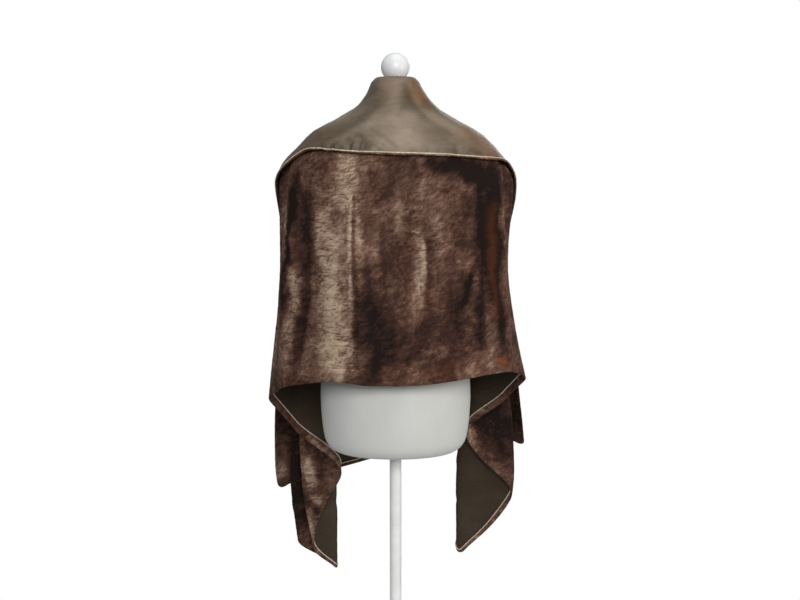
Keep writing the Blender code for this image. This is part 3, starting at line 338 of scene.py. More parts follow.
# Painted highlights, shade and warm glow on the hanging ends, in (along, across) places on the cloth; along
# is below 0 on the left.
END_PAINTED_LIGHT = {
    "lit": [
        ([(-0.46, 0.006), (-0.53, 0.004), (-0.6, 0.006)], 0.006, 0.55),
        ([(-0.622, 0.088), (-0.65, 0.056), (-0.682, 0.038)], 0.013, 1.1),
        ([(-0.694, 0.034), (-0.676, 0.01)], 0.01, 1.0),
        ([(-0.722, 0.026), (-0.752, 0.012), (-0.78, 0.004)], 0.01, 1.05),
        ([(-0.835, 0.19), (-0.845, 0.175)], 0.01, 0.6),
        ([(-0.75, 0.255), (-0.79, 0.225)], 0.007, 0.35),
        ([(-0.855, 0.792), (-0.878, 0.778)], 0.014, 0.95),
        ([(-0.77, 0.79), (-0.8, 0.785)], 0.01, 0.3),
        ([(-0.26, 0.64), (-0.42, 0.652), (-0.64, 0.638), (-0.86, 0.655)], 0.016, 0.55),
        ([(-0.32, 0.73), (-0.46, 0.738), (-0.62, 0.73)], 0.012, 0.4),
        ([(0.24, 0.644), (0.4, 0.656), (0.6, 0.642), (0.8, 0.652)], 0.015, 0.5),
        ([(0.42, 0.736), (0.58, 0.732), (0.82, 0.74)], 0.014, 0.45),
        ([(0.43, 0.008), (0.49, 0.012)], 0.008, 0.7),
        ([(0.528, 0.03), (0.54, 0.024)], 0.006, 0.6),
        ([(0.514, 0.024), (0.53, 0.012)], 0.008, 0.6),
        ([(0.8, 0.79), (0.88, 0.784)], 0.007, 0.35),
    ],
    "dark": [
        ([(-0.7, 0.014), (-0.714, 0.006)], 0.007, 0.8),
        ([(-0.622, 0.042), (-0.646, 0.032)], 0.009, 0.55),
        ([(-0.72, 0.29), (-0.83, 0.2), (-0.89, 0.14)], 0.026, 0.9),
        ([(-0.4, 0.03), (-0.47, 0.08), (-0.54, 0.11)], 0.026, 0.4),
        ([(0.5, 0.06), (0.58, 0.11), (0.64, 0.05)], 0.06, 0.72),
        ([(0.7, 0.785), (0.88, 0.78)], 0.03, 0.42),
        ([(-0.3, 0.688), (-0.48, 0.7), (-0.66, 0.684), (-0.86, 0.7)], 0.012, 0.34),
        ([(0.3, 0.69), (0.46, 0.7), (0.68, 0.686), (0.87, 0.7)], 0.012, 0.3),
        ([(-0.17, 0.61), (-0.23, 0.68), (-0.28, 0.76)], 0.012, 0.2),
        ([(0.52, 0.79), (0.7, 0.786), (0.86, 0.79)], 0.014, 0.22),
    ],
    "warm": [
        ([(-0.4, 0.01), (-0.46, 0.05)], 0.018, 0.25),
        ([(-0.88, 0.77), (-0.84, 0.76)], 0.016, 0.2),
    ],
}

# Strokes waver by layers of noise: (spots to the metre each way, seed, reach).
WAVER = (((22.0, 22.0, 15.0), 4, 0.010), ((90.0, 90.0, 60.0), 5, 0.004))
# The flanks of creases and the bends of folds get painted highlights or painted shade: (gain, most) and
# (gain, span).
FLANK_LIGHT = (1.5, 0.35)
RIDGE_LIGHT = (0.90, 90.0)
VALLEY_DARK = (0.80, 80.0)

# ---------------------------------------------------------------- the dress form
TORSO = [
    Ring(0.000, 0.098, 0.055, 0.058),
    Ring(0.005, 0.124, 0.080, 0.083),
    Ring(0.018, 0.142, 0.096, 0.100),
    Ring(0.042, 0.152, 0.104, 0.108),
    Ring(0.100, 0.158, 0.110, 0.112),
    Ring(0.160, 0.157, 0.110, 0.108),
    Ring(0.240, 0.142, 0.096, 0.098),
    Ring(0.330, 0.118, 0.080, 0.088),
    Ring(0.410, 0.128, 0.082, 0.106),
    Ring(0.480, 0.146, 0.090, 0.124),
    Ring(0.540, 0.160, 0.098, 0.118),
    Ring(0.590, 0.182, 0.104, 0.110),
    Ring(0.622, 0.190, 0.105, 0.106),
]
TORSO_SIDES = 144
TORSO_STEPS = 6            # rings from one outline of the torso to the next
SEATED_HEIGHTS = (0.650, 0.675, 0.695, 0.712, 0.732, 0.750, 0.766)
SEATED_RINGS = 25
SEATED_INSET = 0.0090      # the shoulders lie this far inside the cloth's rings
ROUND_SIDES = 96
SHARP_EDGE = math.radians(50)
BALL_RADIUS, BALL_CENTRE, BALL_RINGS = 0.0295, 0.8085, 40
BALL_FLAT = 0.0290         # the ball is cut flat this far below and above its centre
# Outlines of the turned pieces, as (radius, height): the cap's from the form's underside, the others' from
# the floor.
CAP_PROFILE = ((0.028, 0.7665), (0.030, 0.7690), (0.029, 0.7735), (0.025, 0.7770), (0.012, 0.7788))
CAP_ROUNDING = 0.0015
POLE_PROFILE = ((0.0125, 0.0305), (0.0125, 0.719))
BASE_PROFILE = (
    (0.172, 0.0), (0.175, 0.003), (0.175, 0.008), (0.167, 0.014), (0.034, 0.018), (0.022, 0.030),
    (0.014, 0.030),
)
BASE_ROUNDING = 0.004

# ---------------------------------------------------------------- the studio
FLOOR_SIDES, FLOOR_RINGS = 96, (0.3, 0.6, 1.0)
FLOOR_FADE = (0.35, 0.98)  # the floor melts into white between these distances
SKY_STOPS = [(0.0, (0.30, 0.30, 0.30)), (0.5, (0.42, 0.42, 0.42)), (1.0, (0.9, 0.9, 0.9))]
SKY_STRENGTH = 0.55
LIGHTS_AIM = (0.0, 0.0, 1.15)
# Place, size, power in watts and colour.
LIGHTS = {
    "key_light": ((0.3, -3.1, 2.3), (1.2, 1.2), 62.0, (1.0, 1.0, 1.0)),
    "side_light": ((2.5, -1.7, 1.4), (1.0, 1.6), 24.0, (1.0, 0.94, 0.88)),
    "top_light": ((0.0, 0.0, 3.3), (1.6, 1.6), 12.0, (1.0, 1.0, 1.0)),
    "front_light": ((0.5, 3.0, 1.7), (2.2, 2.0), 26.0, (1.0, 1.0, 1.0)),
}
CAMERA_DISTANCE, CAMERA_TILT = 2.50, math.radians(7.4)
CAMERA_AIM = (0.0095, 0.0, 0.3275 + FORM_LIFT)
CAMERA_LENS, CAMERA_SENSOR = 53.55, 36.0

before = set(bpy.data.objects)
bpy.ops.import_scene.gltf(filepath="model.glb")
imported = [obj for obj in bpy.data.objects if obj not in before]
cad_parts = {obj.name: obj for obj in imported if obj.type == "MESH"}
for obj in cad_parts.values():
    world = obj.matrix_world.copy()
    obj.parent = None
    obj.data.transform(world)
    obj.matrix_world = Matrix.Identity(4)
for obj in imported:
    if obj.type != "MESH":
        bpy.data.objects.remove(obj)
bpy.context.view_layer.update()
noise.seed_set(NOISE_SEED)


# ---------------------------------------------------------------- curves
def smooth_step(t):
    t = np.clip(t, 0.0, 1.0)
    return t * t * (3 - 2 * t)


def through(values, t):
    """Catmull-Rom curve through evenly numbered values, at number t."""
    last = len(values) - 1
    i = min(max(int(t), 0), last - 1)
    f = t - i
    b, c = values[i], values[i + 1]
    a = values[i - 1] if i else b + (b - c)
    d = values[i + 2] if i + 2 <= last else c + (c - b)
    return 0.5 * (2 * b + (c - a) * f + (2 * a - 5 * b + 4 * c - d) * f ** 2
                  + (3 * b - a - 3 * c + d) * f ** 3)


def eased(start, leave, end, arrive, t):
    """From start to end as t goes from 0 to 1, leaving and arriving at these slopes."""
    return (start * (1 + 2 * t) * (1 - t) ** 2 + leave * t * (1 - t) ** 2
            + end * t * t * (3 - 2 * t) + arrive * t * t * (t - 1))


def read_off(places, values, x):
    """Smooth curve through values at uneven, rising places, read off at x and straight past the ends."""
    last = len(places) - 1
    i = 0
    while i < last - 1 and x > places[i + 1]:
        i += 1

    def slope(k):
        low, high = max(k - 1, 0), min(k + 1, last)
        return (values[high] - values[low]) / (places[high] - places[low])
    if x <= places[0]:
        return values[0] + slope(0) * (x - places[0])
    if x >= places[last]:
        return values[last] + slope(last) * (x - places[last])
    h = places[i + 1] - places[i]
    return eased(values[i], slope(i) * h, values[i + 1], slope(i + 1) * h, (x - places[i]) / h)


# ---------------------------------------------------------------- the drape
RING_HEIGHTS = [r.z for r in RINGS]
RING_SIZES = {part: [getattr(r, part) for r in RINGS] for part in ("half", "back", "front")}


def ring_point(turn, z, grow=0.0):
    """Point (outwards, forwards) on the shoulder ring at height z, at a bearing in degrees from the back."""
    half = read_off(RING_HEIGHTS, RING_SIZES["half"], z) + grow
    angle = math.radians(turn)
    sine, cosine = math.sin(angle), math.cos(angle)
    reach = read_off(RING_HEIGHTS, RING_SIZES["front" if cosine < 0 else "back"], z) + grow
    share = min(max((ROUND_NECK - z) / SQUARE_FADE, 0.0), 1.0)
    square = 2.0 / (2.0 + SQUARENESS * share * share * (3 - 2 * share))
    return Vector((half * abs(sine) ** square, -reach * math.copysign(abs(cosine) ** square, cosine)))


def station_point(station, z, grow):
    """Where one station's upright line is at height z, as (outwards, forwards)."""
    if z >= SHOULDER_START:
        return ring_point(station.turn, z, grow)
    tip = Vector((station.tip, station.tail[1]))
    levels = [tip, Vector(station.tail), Vector(station.waist), Vector(station.chest)]
    hanging = read_off([TIP, TAIL, WAIST, CHEST], levels, min(z, CHEST))
    if z <= CHEST:
        return hanging
    share = float(smooth_step((z - CHEST) / (SHOULDER_START - CHEST)))
    return hanging.lerp(ring_point(station.turn, z, grow), share)


def cloth_point(side, stations, number, z, grow=0.0):
    """Point on the hanging cloth at a station number and a height; side is -1 left or +1 right."""
    last = len(stations) - 1
    number = min(max(number, 0.0), last)
    i = min(int(number), last - 1)
    near = {k: station_point(stations[k], z, grow) for k in range(max(i - 1, 0), min(i + 2, last) + 1)}

    def slope(k):
        before = near[k] - near[k - 1] if k else near[1] - near[0]
        after = near[k + 1] - near[k] if k < last else before
        along = (before + after) / 2
        turn = before.normalized() + after.normalized()
        hairpin = float(smooth_step(-HAIRPIN * before.normalized().dot(after.normalized())))
        round_turn = turn.normalized() * math.sqrt(6 * FOLD_RADIUS * min(before.length, after.length))
        return along.lerp(round_turn, hairpin)
    plan = eased(near[i], slope(i), near[i + 1], slope(i + 1), number - i)
    return Vector((side * plan.x, plan.y, z))


def rib_on(side_name, u):
    """Hem, crest, fold and edge of the line across the cloth at u, each as (station number, height)."""
    rows = RIBS[side_name]
    places = [r.u for r in rows]
    return [read_off(places, [Vector(getattr(r, part)) for r in rows], u)
            for part in ("hem", "crest", "fold", "edge")]


def even_points(points, count):
    """count + 1 points spaced evenly along a polyline."""
    points = np.array(points)
    lengths = np.concatenate([[0.0], np.cumsum(np.linalg.norm(np.diff(points, axis=0), axis=1))])
    wanted = np.linspace(0.0, lengths[-1], count + 1)
    return np.column_stack([np.interp(wanted, lengths, points[:, axis]) for axis in range(3)])


def fold_to_collar(number):
    """Collar station that has the same bearing as a main station number."""
    turns = through([float(s.turn) for s in MAIN["left"]], number)
    return float(np.interp(turns, [s.turn for s in COLLAR["left"]], range(len(COLLAR["left"]))))


def rib_line(u):
    """Points along the rib at u: the panel from its hem to the fold, the round fold, and the collar."""
    name, side = ("left", -1) if u < 0 else ("right", 1)
    hem, crest, fold, edge = rib_on(name, abs(u))
    panel = []
    for i in range(RIB_STEPS + 1):
        number, z = through([hem, crest, fold], 2.0 * i / RIB_STEPS)
        panel.append(cloth_point(side, MAIN[name], number, z))
    turned_back = Vector((fold_to_collar(fold.x), fold.y))
    collar = []
    for i in range(1, RIB_STEPS // 2 + 1):
        number, z = turned_back.lerp(edge, 2.0 * i / RIB_STEPS)
        collar.append(cloth_point(side, COLLAR[name], number, z, COLLAR_STAND_OFF))
    below, above = even_points(panel, PANEL_STEPS), even_points(collar, COLLAR_STEPS)
    along = below[-1] - below[-3]
    bulge = (below[-1] + above[0]) / 2 + along / np.linalg.norm(along) * TURN_BULGE
    return np.vstack([below, bulge, above])


def distance_to(line, along, across):
    """Distance of every lattice point from a line of places, and how far along the line it is."""
    nearest = np.full(along.shape, 9.0)
    share = np.zeros(along.shape)
    spans = [math.dist(a, b) for a, b in zip(line, line[1:])]
    done = 0.0
    for (ax, ay), (bx, by), span in zip(line, line[1:], spans):
        t = ((along - ax) * (bx - ax) + (across - ay) * (by - ay)) / span ** 2
        held = np.clip(t, 0.0, 1.0)
        apart = np.hypot(along - ax - held * (bx - ax), across - ay - held * (by - ay))
        closer = apart < nearest
        nearest = np.where(closer, apart, nearest)
        share = np.where(closer, (done + held * span) / sum(spans), share)
        done += span
    return nearest, share


def soft_line(line, width, along, across):
    """1 on a line, fading softly to its sides and towards its ends."""
    apart, share = distance_to(line, along, across)
    ends = np.clip(4.0 * share * (1.0 - share), 0.0, 1.0) ** 0.5
    return np.exp(-(apart / width) ** 2) * (LINE_END + (1.0 - LINE_END) * ends)


def wander(points, scale, seed):
    """Smooth noise at points, as an array of vectors."""
    scale = Vector(scale)
    offset = Vector((seed * 7.1, seed * 3.3, seed * 5.7))
    flat = points.reshape(-1, 3)
    values = [noise.noise_vector(Vector(p) * scale + offset) for p in flat.tolist()]
    return np.array([tuple(v) for v in values]).reshape(points.shape)


class Drape:
    """The middle surface of the worn cloth, as a lattice of points with their normals."""

    def __init__(self):
        steps = np.linspace(-HALF_LENGTH, HALF_LENGTH, LONG_STEPS + 1)
        self.points = np.array([rib_line(float(u)) for u in steps]) + (0.0, 0.0, FORM_LIFT)
        columns = np.arange(LAST_COLUMN + 1.0)
        across = np.interp(columns, (0, PANEL_STEPS, PANEL_STEPS + 2, LAST_COLUMN),
                           (0.0, PANEL_WIDTH, PANEL_WIDTH, PANEL_WIDTH + COLLAR_WIDTH))
        self.along, self.across = np.meshgrid(steps, across, indexing="ij")
        self.ease_middle()
        self.settle()
        self.crease()

    def normals(self):
        """Unit normals out of the satin side."""
        n = np.cross(np.gradient(self.points, axis=1), np.gradient(self.points, axis=0))
        return n / np.maximum(np.linalg.norm(n, axis=2, keepdims=True), 1e-9)

    def ease_middle(self):
        """The two halves' tables meet in the middle of the back: ease the kink between them."""
        middle = LONG_STEPS // 2
        band = self.points[middle - MIDDLE_EASE:middle + MIDDLE_EASE + 1]
        for _ in range(MIDDLE_EASE):
            band[1:-1] = 0.5 * band[1:-1] + 0.25 * (band[2:] + band[:-2])

    def settle(self):
        """Lean the hanging cloth about, slowly and unevenly, as one body of cloth."""
        height = self.points[..., 2:] - FORM_LIFT
        free = smooth_step((SWAY_TOP - height) / SWAY_FADE)
        sway = wander(self.points, SWAY_SCALE, 1) * (1.0, 1.0, 0.0)
        self.points += sway * free * SWAY_REACH

    def crease(self):
        """Raise the ridges and press the troughs, each on the side that shows."""
        out = -self.normals()
        collar = self.across > PANEL_WIDTH
        out[collar] *= -1
        x, height_up, depth_in = self.points[..., 0], self.points[..., 2] - FORM_LIFT, self.points[..., 1]
        behind = {part: smooth_step((BACK_ENDS[part] - depth_in) / BACK_FADE) * on
                  for part, on in (("panel", ~collar), ("collar", collar))}
        depth = np.zeros(self.along.shape)
        for part, creases in (("panel", BACK_CREASES), ("collar", COLLAR_CREASES)):
            for line, width, height in creases:
                depth += height * soft_line(line, width, x, height_up) * behind[part]
        for start, end, place, rise in CRUSH_LINES:
            line = [(start, place), ((start + end) / 2, place + rise), (end, place + rise / 3)]
            depth -= CRUSH_DEPTH * soft_line(line, CRUSH_WIDTH, x, height_up) * behind["panel"]
        for line, width, height in END_CREASES:
            for side in (-1, 1):
                shifted = [(side * (u + (RIGHT_END_SHIFT if side > 0 else 0.0)), s) for u, s in line]
                depth += height * soft_line(shifted, width, self.along, self.across)
        for scale, seed, height in UNEVEN:
            depth += height * wander(self.points, scale, seed)[..., 0]
        covered = smooth_step((self.across - COVERED_FROM) / COVERED_FADE)
        covered = covered * smooth_step((PANEL_WIDTH + FOLD_FADE - self.across) / FOLD_FADE)
        depth *= 1.0 - HELD_DOWN * covered
        self.points += out * depth[..., None]
        self.normal = self.normals()
        self.lay(behind, depth, x, height_up)

    def lay(self, behind, depth, x, height_up):
        """Painted light on pile and satin: highlights, shade and warm glow from the strokes, the flanks of
        creases and the fold edges, shade on the lining's inner side, and the gathers.
        """
        painted_light = {}
        waver = sum(reach * wander(self.points, scale, seed) for scale, seed, reach in WAVER)
        x, height_up = x + waver[..., 0], height_up + waver[..., 2]
        for name in ("lit", "dark", "warm"):
            painted_light[name] = sum(amount * soft_line(line, width, self.along, self.across)
                             for line, width, amount in END_PAINTED_LIGHT[name])
            for part, strokes in (("panel", BACK_PAINTED_LIGHT[name]), ("collar", COLLAR_SHEEN[name])):
                for line, width, amount in strokes:
                    painted_light[name] = painted_light[name] + amount * soft_line(line, width, x, height_up) * behind[part]
        # Painted highlights on rising crease flanks and fold ridges, painted shade on falling flanks and in
        # fold valleys.
        gain, most = FLANK_LIGHT
        flank = gain * np.gradient(depth, axis=0) / (2 * HALF_LENGTH / LONG_STEPS)
        step, turn = np.gradient(self.points, axis=0), np.gradient(self.normal, axis=0)
        bend = -np.sum(turn * step, axis=2) / np.maximum(np.sum(step * step, axis=2), 1e-9)
        for name, slope, over, (share, span) in (("lit", flank, bend - 2 * FOLD_BEND, RIDGE_LIGHT),
                                                 ("dark", -flank, -bend - FOLD_BEND, VALLEY_DARK)):
            painted_light[name] += np.clip(slope, 0.0, most) + share * np.clip(over / span, 0.0, 1.0)
        painted_light["gather"] = sum(amount * soft_line(line, width, x, height_up)
                             for line, width, amount in COLLAR_GATHERS) * behind["collar"]
        # Painted shade on the lining's side that faces the form.
        painted_light["inner"] = smooth_step((PANEL_WIDTH - self.across) / FOLD_FADE)
        self.painted_light = {name: np.clip(grid, 0.0, 1.0) for name, grid in painted_light.items()}

    def reader(self, row, column):
        """A function that reads any of the lattice's grids at these places, blended between its points."""
        row, column = turned_corners(np.clip(row, 0, LONG_STEPS), np.clip(column, 0, LAST_COLUMN))
        r, c = np.minimum(row.astype(int), LONG_STEPS - 1), np.minimum(column.astype(int), LAST_COLUMN - 1)
        fr, fc = (row - r)[..., None], (column - c)[..., None]

        def read(grid):
            low = grid[r, c] * (1 - fc) + grid[r, c + 1] * fc
            high = grid[r + 1, c] * (1 - fc) + grid[r + 1, c + 1] * fc
            return low * (1 - fr) + high * fr
        return read

    def at(self, row, column, off):
        """Points at lattice places, off the middle surface towards the satin side."""
        read = self.reader(row, column)
        n = read(self.normal)
        n /= np.linalg.norm(n, axis=-1, keepdims=True)
        return read(self.points) + n * np.asarray(off)[..., None]

    def lay_painted_light(self, piece, row, column):
        """Keep on each of a piece's points the painted light and shade laid there."""
        read = self.reader(row, column)
        for name, grid in self.painted_light.items():
            layer = piece.data.attributes.new(name, "FLOAT", "POINT")
            layer.data.foreach_set("value", read(grid[..., None]).ravel())


# ---------------------------------------------------------------- shader maths
class Wire:
    """A node's output, used in sums as if it were a number."""

    def __init__(self, recipe, socket):
        self.recipe, self.socket = recipe, socket

    def sum(self, operation, first, second):
        return self.recipe.node("ShaderNodeMath", {"operation": operation}, [first, second])

    def __add__(self, other):
        return self.sum("ADD", self, other)

    __radd__ = __add__

    def __sub__(self, other):
        return self.sum("SUBTRACT", self, other)

    def __rsub__(self, other):
        return self.sum("SUBTRACT", other, self)

    def __mul__(self, other):
        return self.sum("MULTIPLY", self, other)

    __rmul__ = __mul__

    def held(self):
        """Kept between 0 and 1."""
        return self.recipe.node("ShaderNodeClamp", {}, [self])


class Recipe:
    """A tree of shader nodes, and the one method that adds nodes to it."""

    def __init__(self, tree):
        self.tree = tree

    def node(self, kind, settings, inputs, output=0):
        """Add a node with its inputs, values or wires, by name or in order, and give one of its outputs."""
        made = self.tree.nodes.new(kind)
        for name, value in settings.items():
            if name == "stops":
                self.set_stops(made.color_ramp, value)
            else:
                setattr(made, name, value)
        pairs = inputs.items() if isinstance(inputs, dict) else enumerate(inputs)
        for key, value in pairs:
            if isinstance(value, Wire):
                self.tree.links.new(value.socket, made.inputs[key])
            else:
                made.inputs[key].default_value = value
        return Wire(self, made.outputs[output]) if made.outputs else None

    @staticmethod
    def set_stops(ramp, stops):
        while len(ramp.elements) < len(stops):
            ramp.elements.new(1.0)
        for element, (place, colour) in zip(ramp.elements, stops):
            element.position, element.color = place, (*colour, 1.0)

    def ramp(self, value, stops):
        return self.node("ShaderNodeValToRGB", {"stops": stops}, [value])


class Dye(Recipe):
    """One material and its node tree."""

    def __init__(self, name, **fixed):
        self.material = bpy.data.materials.new(name)
        self.material.use_nodes = True
        super().__init__(self.material.node_tree)
        self.shader = self.tree.nodes["Principled BSDF"]
        for socket, value in fixed.items():
            self.shader.inputs[socket.replace("_", " ")].default_value = value

    def feed(self, socket, wire):
        self.tree.links.new(wire.socket, self.shader.inputs[socket])

    def own(self, name, output="Fac"):
        """A value or vector kept on the piece's points."""
        return self.node("ShaderNodeAttribute", {"attribute_name": name}, {}, output)

    def place(self):
        return self.node("ShaderNodeTexCoord", {}, {}, "Object")

    def stretched(self, vector, scale):
        return self.node("ShaderNodeVectorMath", {"operation": "MULTIPLY"}, [vector, scale])

    def leaning(self, vector, angle):
        """The same places, turned about the back's own axis."""
        return self.node("ShaderNodeVectorRotate", {"rotation_type": "Y_AXIS"},
                         {"Vector": vector, "Angle": angle})

    def swirled(self, vector, scale, reach):
        """The same places, pushed about by slow noise, so that what is laid on them flows unevenly."""
        push = self.node("ShaderNodeTexNoise", {}, {"Vector": vector, "Scale": scale, "Detail": 2.0}, "Color")
        push = self.node("ShaderNodeVectorMath", {"operation": "SUBTRACT"}, [push, (0.5, 0.5, 0.5)])
        push = self.stretched(push, (reach, reach, reach))
        return self.node("ShaderNodeVectorMath", {}, [vector, push])

    def clouds(self, vector, scale, detail=3.0, rough=0.55, warp=0.0):
        """Noise from 0 to 1; scale is how many spots a metre, each way."""
        fixed = {"Vector": self.stretched(vector, scale), "Scale": 1.0, "Detail": detail, "Roughness": rough,
                 "Distortion": warp}
        return self.node("ShaderNodeTexNoise", {}, fixed)

    def blend(self, share, first, second):
        return self.node("ShaderNodeMix", {"data_type": "RGBA"}, {0: share, 6: first, 7: second}, 2)

    def spread(self, value, low, high):
        """value from low to high, as 0 to 1."""
        return self.node("ShaderNodeMapRange", {"interpolation_type": "SMOOTHSTEP"},
                         {0: value, 1: low, 2: high})

    def bump(self, height, distance, strength):
        fixed = {"Height": height, "Distance": distance, "Strength": strength}
        self.feed("Normal", self.node("ShaderNodeBump", {}, fixed))


# ---------------------------------------------------------------- finishes
# Pile colours, near black to the pale crushed nap; painted shade pulls towards the darkest and painted
# highlights towards the palest. The orange-red is a painted warm glow.
PILE_DEEP = (0.0100, 0.0048, 0.0036)
PILE_BROWN = (0.0540, 0.0235, 0.0160)
PILE_ROSE = (0.1400, 0.0750, 0.0520)
PILE_CRUSHED = (0.5000, 0.3700, 0.2650)
PILE_WARM_GLOW = (0.2400, 0.0620, 0.0140)
# Satin colours: the deepest is painted shade, the inner one painted shade on the side facing the form, and
# the orange-brown one a painted warm reflection.
SATIN_DEEP = (0.0300, 0.0220, 0.0140)
SATIN_INNER_SHADE = (0.0250, 0.0140, 0.0052)
SATIN_OLIVE = (0.1020, 0.0760, 0.0490)
SATIN_TAUPE = (0.2900, 0.2280, 0.1680)
SATIN_WARM_REFLECTION = (0.2000, 0.0920, 0.0330)
CORD_DEEP, CORD_PALE = (0.40, 0.32, 0.23), (0.66, 0.57, 0.45)
JERSEY_SHADE, JERSEY_PALE = (0.60, 0.61, 0.585), (0.68, 0.69, 0.665)
JERSEY_KNIT = (0.50, 0.51, 0.49, 1.0)
BALL_WHITE = (0.80, 0.81, 0.82)
STAND_WHITE = (0.90, 0.90, 0.895)
WORN_PAINT = 0.92          # how dark the paint's duller patches are
FLOOR_SHADE, FLOOR_PALE = (0.84, 0.84, 0.835), (0.87, 0.87, 0.865)


def pinched(dye, value, sharp):
    """1 along thin lines where a noise crosses its middle, and 0 elsewhere."""
    off = dye.node("ShaderNodeMath", {"operation": "ABSOLUTE"}, [value - 0.5])
    return (1 - off * sharp).held()


def crushed_velvet():
    """Brown silk velvet, crushed and mottled, with painted highlights on its lit strokes and painted shade,
    near black, on its dark ones.
    """
    dye = Dye("crushed_velvet", Specular_IOR_Level=0.15, Sheen_Weight=0.06, Sheen_Roughness=0.40,
              Sheen_Tint=(0.85, 0.62, 0.46, 1.0))
    place = dye.swirled(dye.place(), 11.0, 0.028)
    clouds = dye.clouds(place, (14.0, 14.0, 9.0), 3.0, 0.55, 0.5)
    mottle = dye.clouds(place, (54.0, 54.0, 40.0), 5.0, 0.66, 0.6)
    brushed = dye.clouds(dye.leaning(place, 0.50), (56.0, 56.0, 190.0), 4.0, 0.62, 0.4)
    crossed = dye.clouds(dye.leaning(place, -0.55), (190.0, 120.0, 90.0), 3.0, 0.60, 0.4)
    crinkles = dye.clouds(place, (16.0, 16.0, 90.0), 3.0, 0.58, 1.3)
    streaks = dye.clouds(place, (30.0, 30.0, 130.0), 3.0, 0.55, 0.4)
    grain = dye.clouds(place, (620.0, 620.0, 520.0), 2.0)
    lit, dark, warm = dye.own("lit"), dye.own("dark"), dye.own("warm")
    # Fine lines of painted shade in the crushed nap's pinched creases, mostly where painted highlights lie.
    line = pinched(dye, crinkles, 26.0) * (0.16 + lit * 0.84)
    # The nap's own mottling, plus painted highlights and painted shade from the strokes.
    wear_and_painted_light = (clouds - 0.5) * 0.95 + (mottle - 0.5) * 0.42 + (brushed - 0.5) * 0.44 + (crossed - 0.5) * 0.30
    wear_and_painted_light = wear_and_painted_light + 0.52 + lit * 0.34 - dark * 0.52
    wear_and_painted_light = wear_and_painted_light + (grain - 0.5) * 0.24 - line * 0.22 + (streaks - 0.5) * 0.20
    colour = dye.ramp(wear_and_painted_light, [(0.18, PILE_DEEP), (0.42, PILE_BROWN), (0.62, PILE_ROSE), (1.00, PILE_CRUSHED)])
    # Painted warm glow where the warm strokes lie.
    colour = dye.blend((warm * (0.30 + brushed * 0.8)).held(), colour, (*PILE_WARM_GLOW, 1.0))
    dye.feed("Base Color", colour)
    dye.feed("Roughness", 0.84 - dye.spread(wear_and_painted_light, 0.5, 1.0) * 0.30)
    height = mottle * 0.5 + brushed * 0.35 + crossed * 0.22 + crinkles * 0.3 - line * 0.5 + clouds * 0.6
    dye.bump(height + grain * 0.08, 0.0042, 0.55)
    return dye.material


def olive_satin():
    """Olive-brown satin with soft pools of sheen painted into its colour, painted highlights and shade from
    the strokes, and painted shade on the side that faces the form.
    """
    dye = Dye("olive_satin", Metallic=0.08, Specular_IOR_Level=0.26, Sheen_Weight=0.02)
    place = dye.swirled(dye.place(), 7.0, 0.030)
    pools = dye.clouds(place, (8.0, 8.0, 9.0), 2.0, 0.5, 0.3)
    ripples = dye.clouds(place, (14.0, 14.0, 46.0), 2.0, 0.45, 0.4)
    slubs = dye.clouds(place, (60.0, 60.0, 900.0), 2.0)
    puckers = dye.clouds(dye.leaning(place, -0.50), (62.0, 62.0, 9.0), 1.0, 0.4, 0.2)
    wrinkles = dye.clouds(place, (13.0, 13.0, 34.0), 2.0, 0.5, 1.2)
    lit, dark, warm = dye.own("lit"), dye.own("dark"), dye.own("warm")
    fold = pinched(dye, puckers, 7.0) * dye.own("gather")
    wrinkle = pinched(dye, wrinkles, 26.0)
    # Painted sheen: pools and ripples of it, painted highlights and painted shade, with painted shade in
    # puckers and wrinkles.
    sheen = pools * 0.7 + 0.14 + (ripples - 0.5) * 0.34 + (slubs - 0.5) * 0.14 + lit * 0.46 - dark * 0.20
    sheen = sheen - fold * 0.5 - wrinkle * 0.07
    colour = dye.ramp(sheen, [(0.00, SATIN_DEEP), (0.36, SATIN_OLIVE), (0.98, SATIN_TAUPE)])
    # Painted warm reflection, then painted shade, then painted shade on the side that faces the form.
    colour = dye.blend((warm * (0.55 + pools * 0.6)).held(), colour, (*SATIN_WARM_REFLECTION, 1.0))
    colour = dye.blend((dark * 0.80).held(), colour, (*SATIN_DEEP, 1.0))
    colour = dye.blend(dye.own("inner") * 0.86, colour, (*SATIN_INNER_SHADE, 1.0))
    dye.feed("Base Color", colour)
    dye.feed("Roughness", 0.38 + ripples * 0.12 + dye.own("inner") * 0.16)
    dye.bump(ripples * 0.5 + slubs * 0.04 + pools * 0.7 - fold * 0.7 - wrinkle * 0.14, 0.0030, 0.50)
    return dye.material


def piping_satin():
    dye = Dye("piping_satin", Specular_IOR_Level=0.6, Metallic=0.15)
    place = dye.place()
    puckers = dye.clouds(place, (160.0, 160.0, 160.0), 2.0)
    colour = dye.ramp(puckers, [(0.30, CORD_DEEP), (0.70, CORD_PALE)])
    dye.feed("Base Color", colour)
    dye.feed("Roughness", 0.34 + puckers * 0.15)
    dye.bump(puckers, 0.0008, 0.5)
    return dye.material


def form_jersey():
    dye = Dye("form_jersey", Specular_IOR_Level=0.25, Sheen_Weight=0.15)
    place = dye.place()
    shade = dye.clouds(place, (9.0, 9.0, 6.0), 3.0)
    knit = dye.clouds(place, (1300.0, 1300.0, 500.0), 1.0)
    colour = dye.ramp(shade, [(0.30, JERSEY_SHADE), (0.70, JERSEY_PALE)])
    dye.feed("Base Color", dye.blend(knit * 0.10, colour, JERSEY_KNIT))
    dye.feed("Roughness", 0.80 + shade * 0.12)
    dye.bump(knit * 0.6 + shade * 0.4, 0.0006, 0.35)
    return dye.material


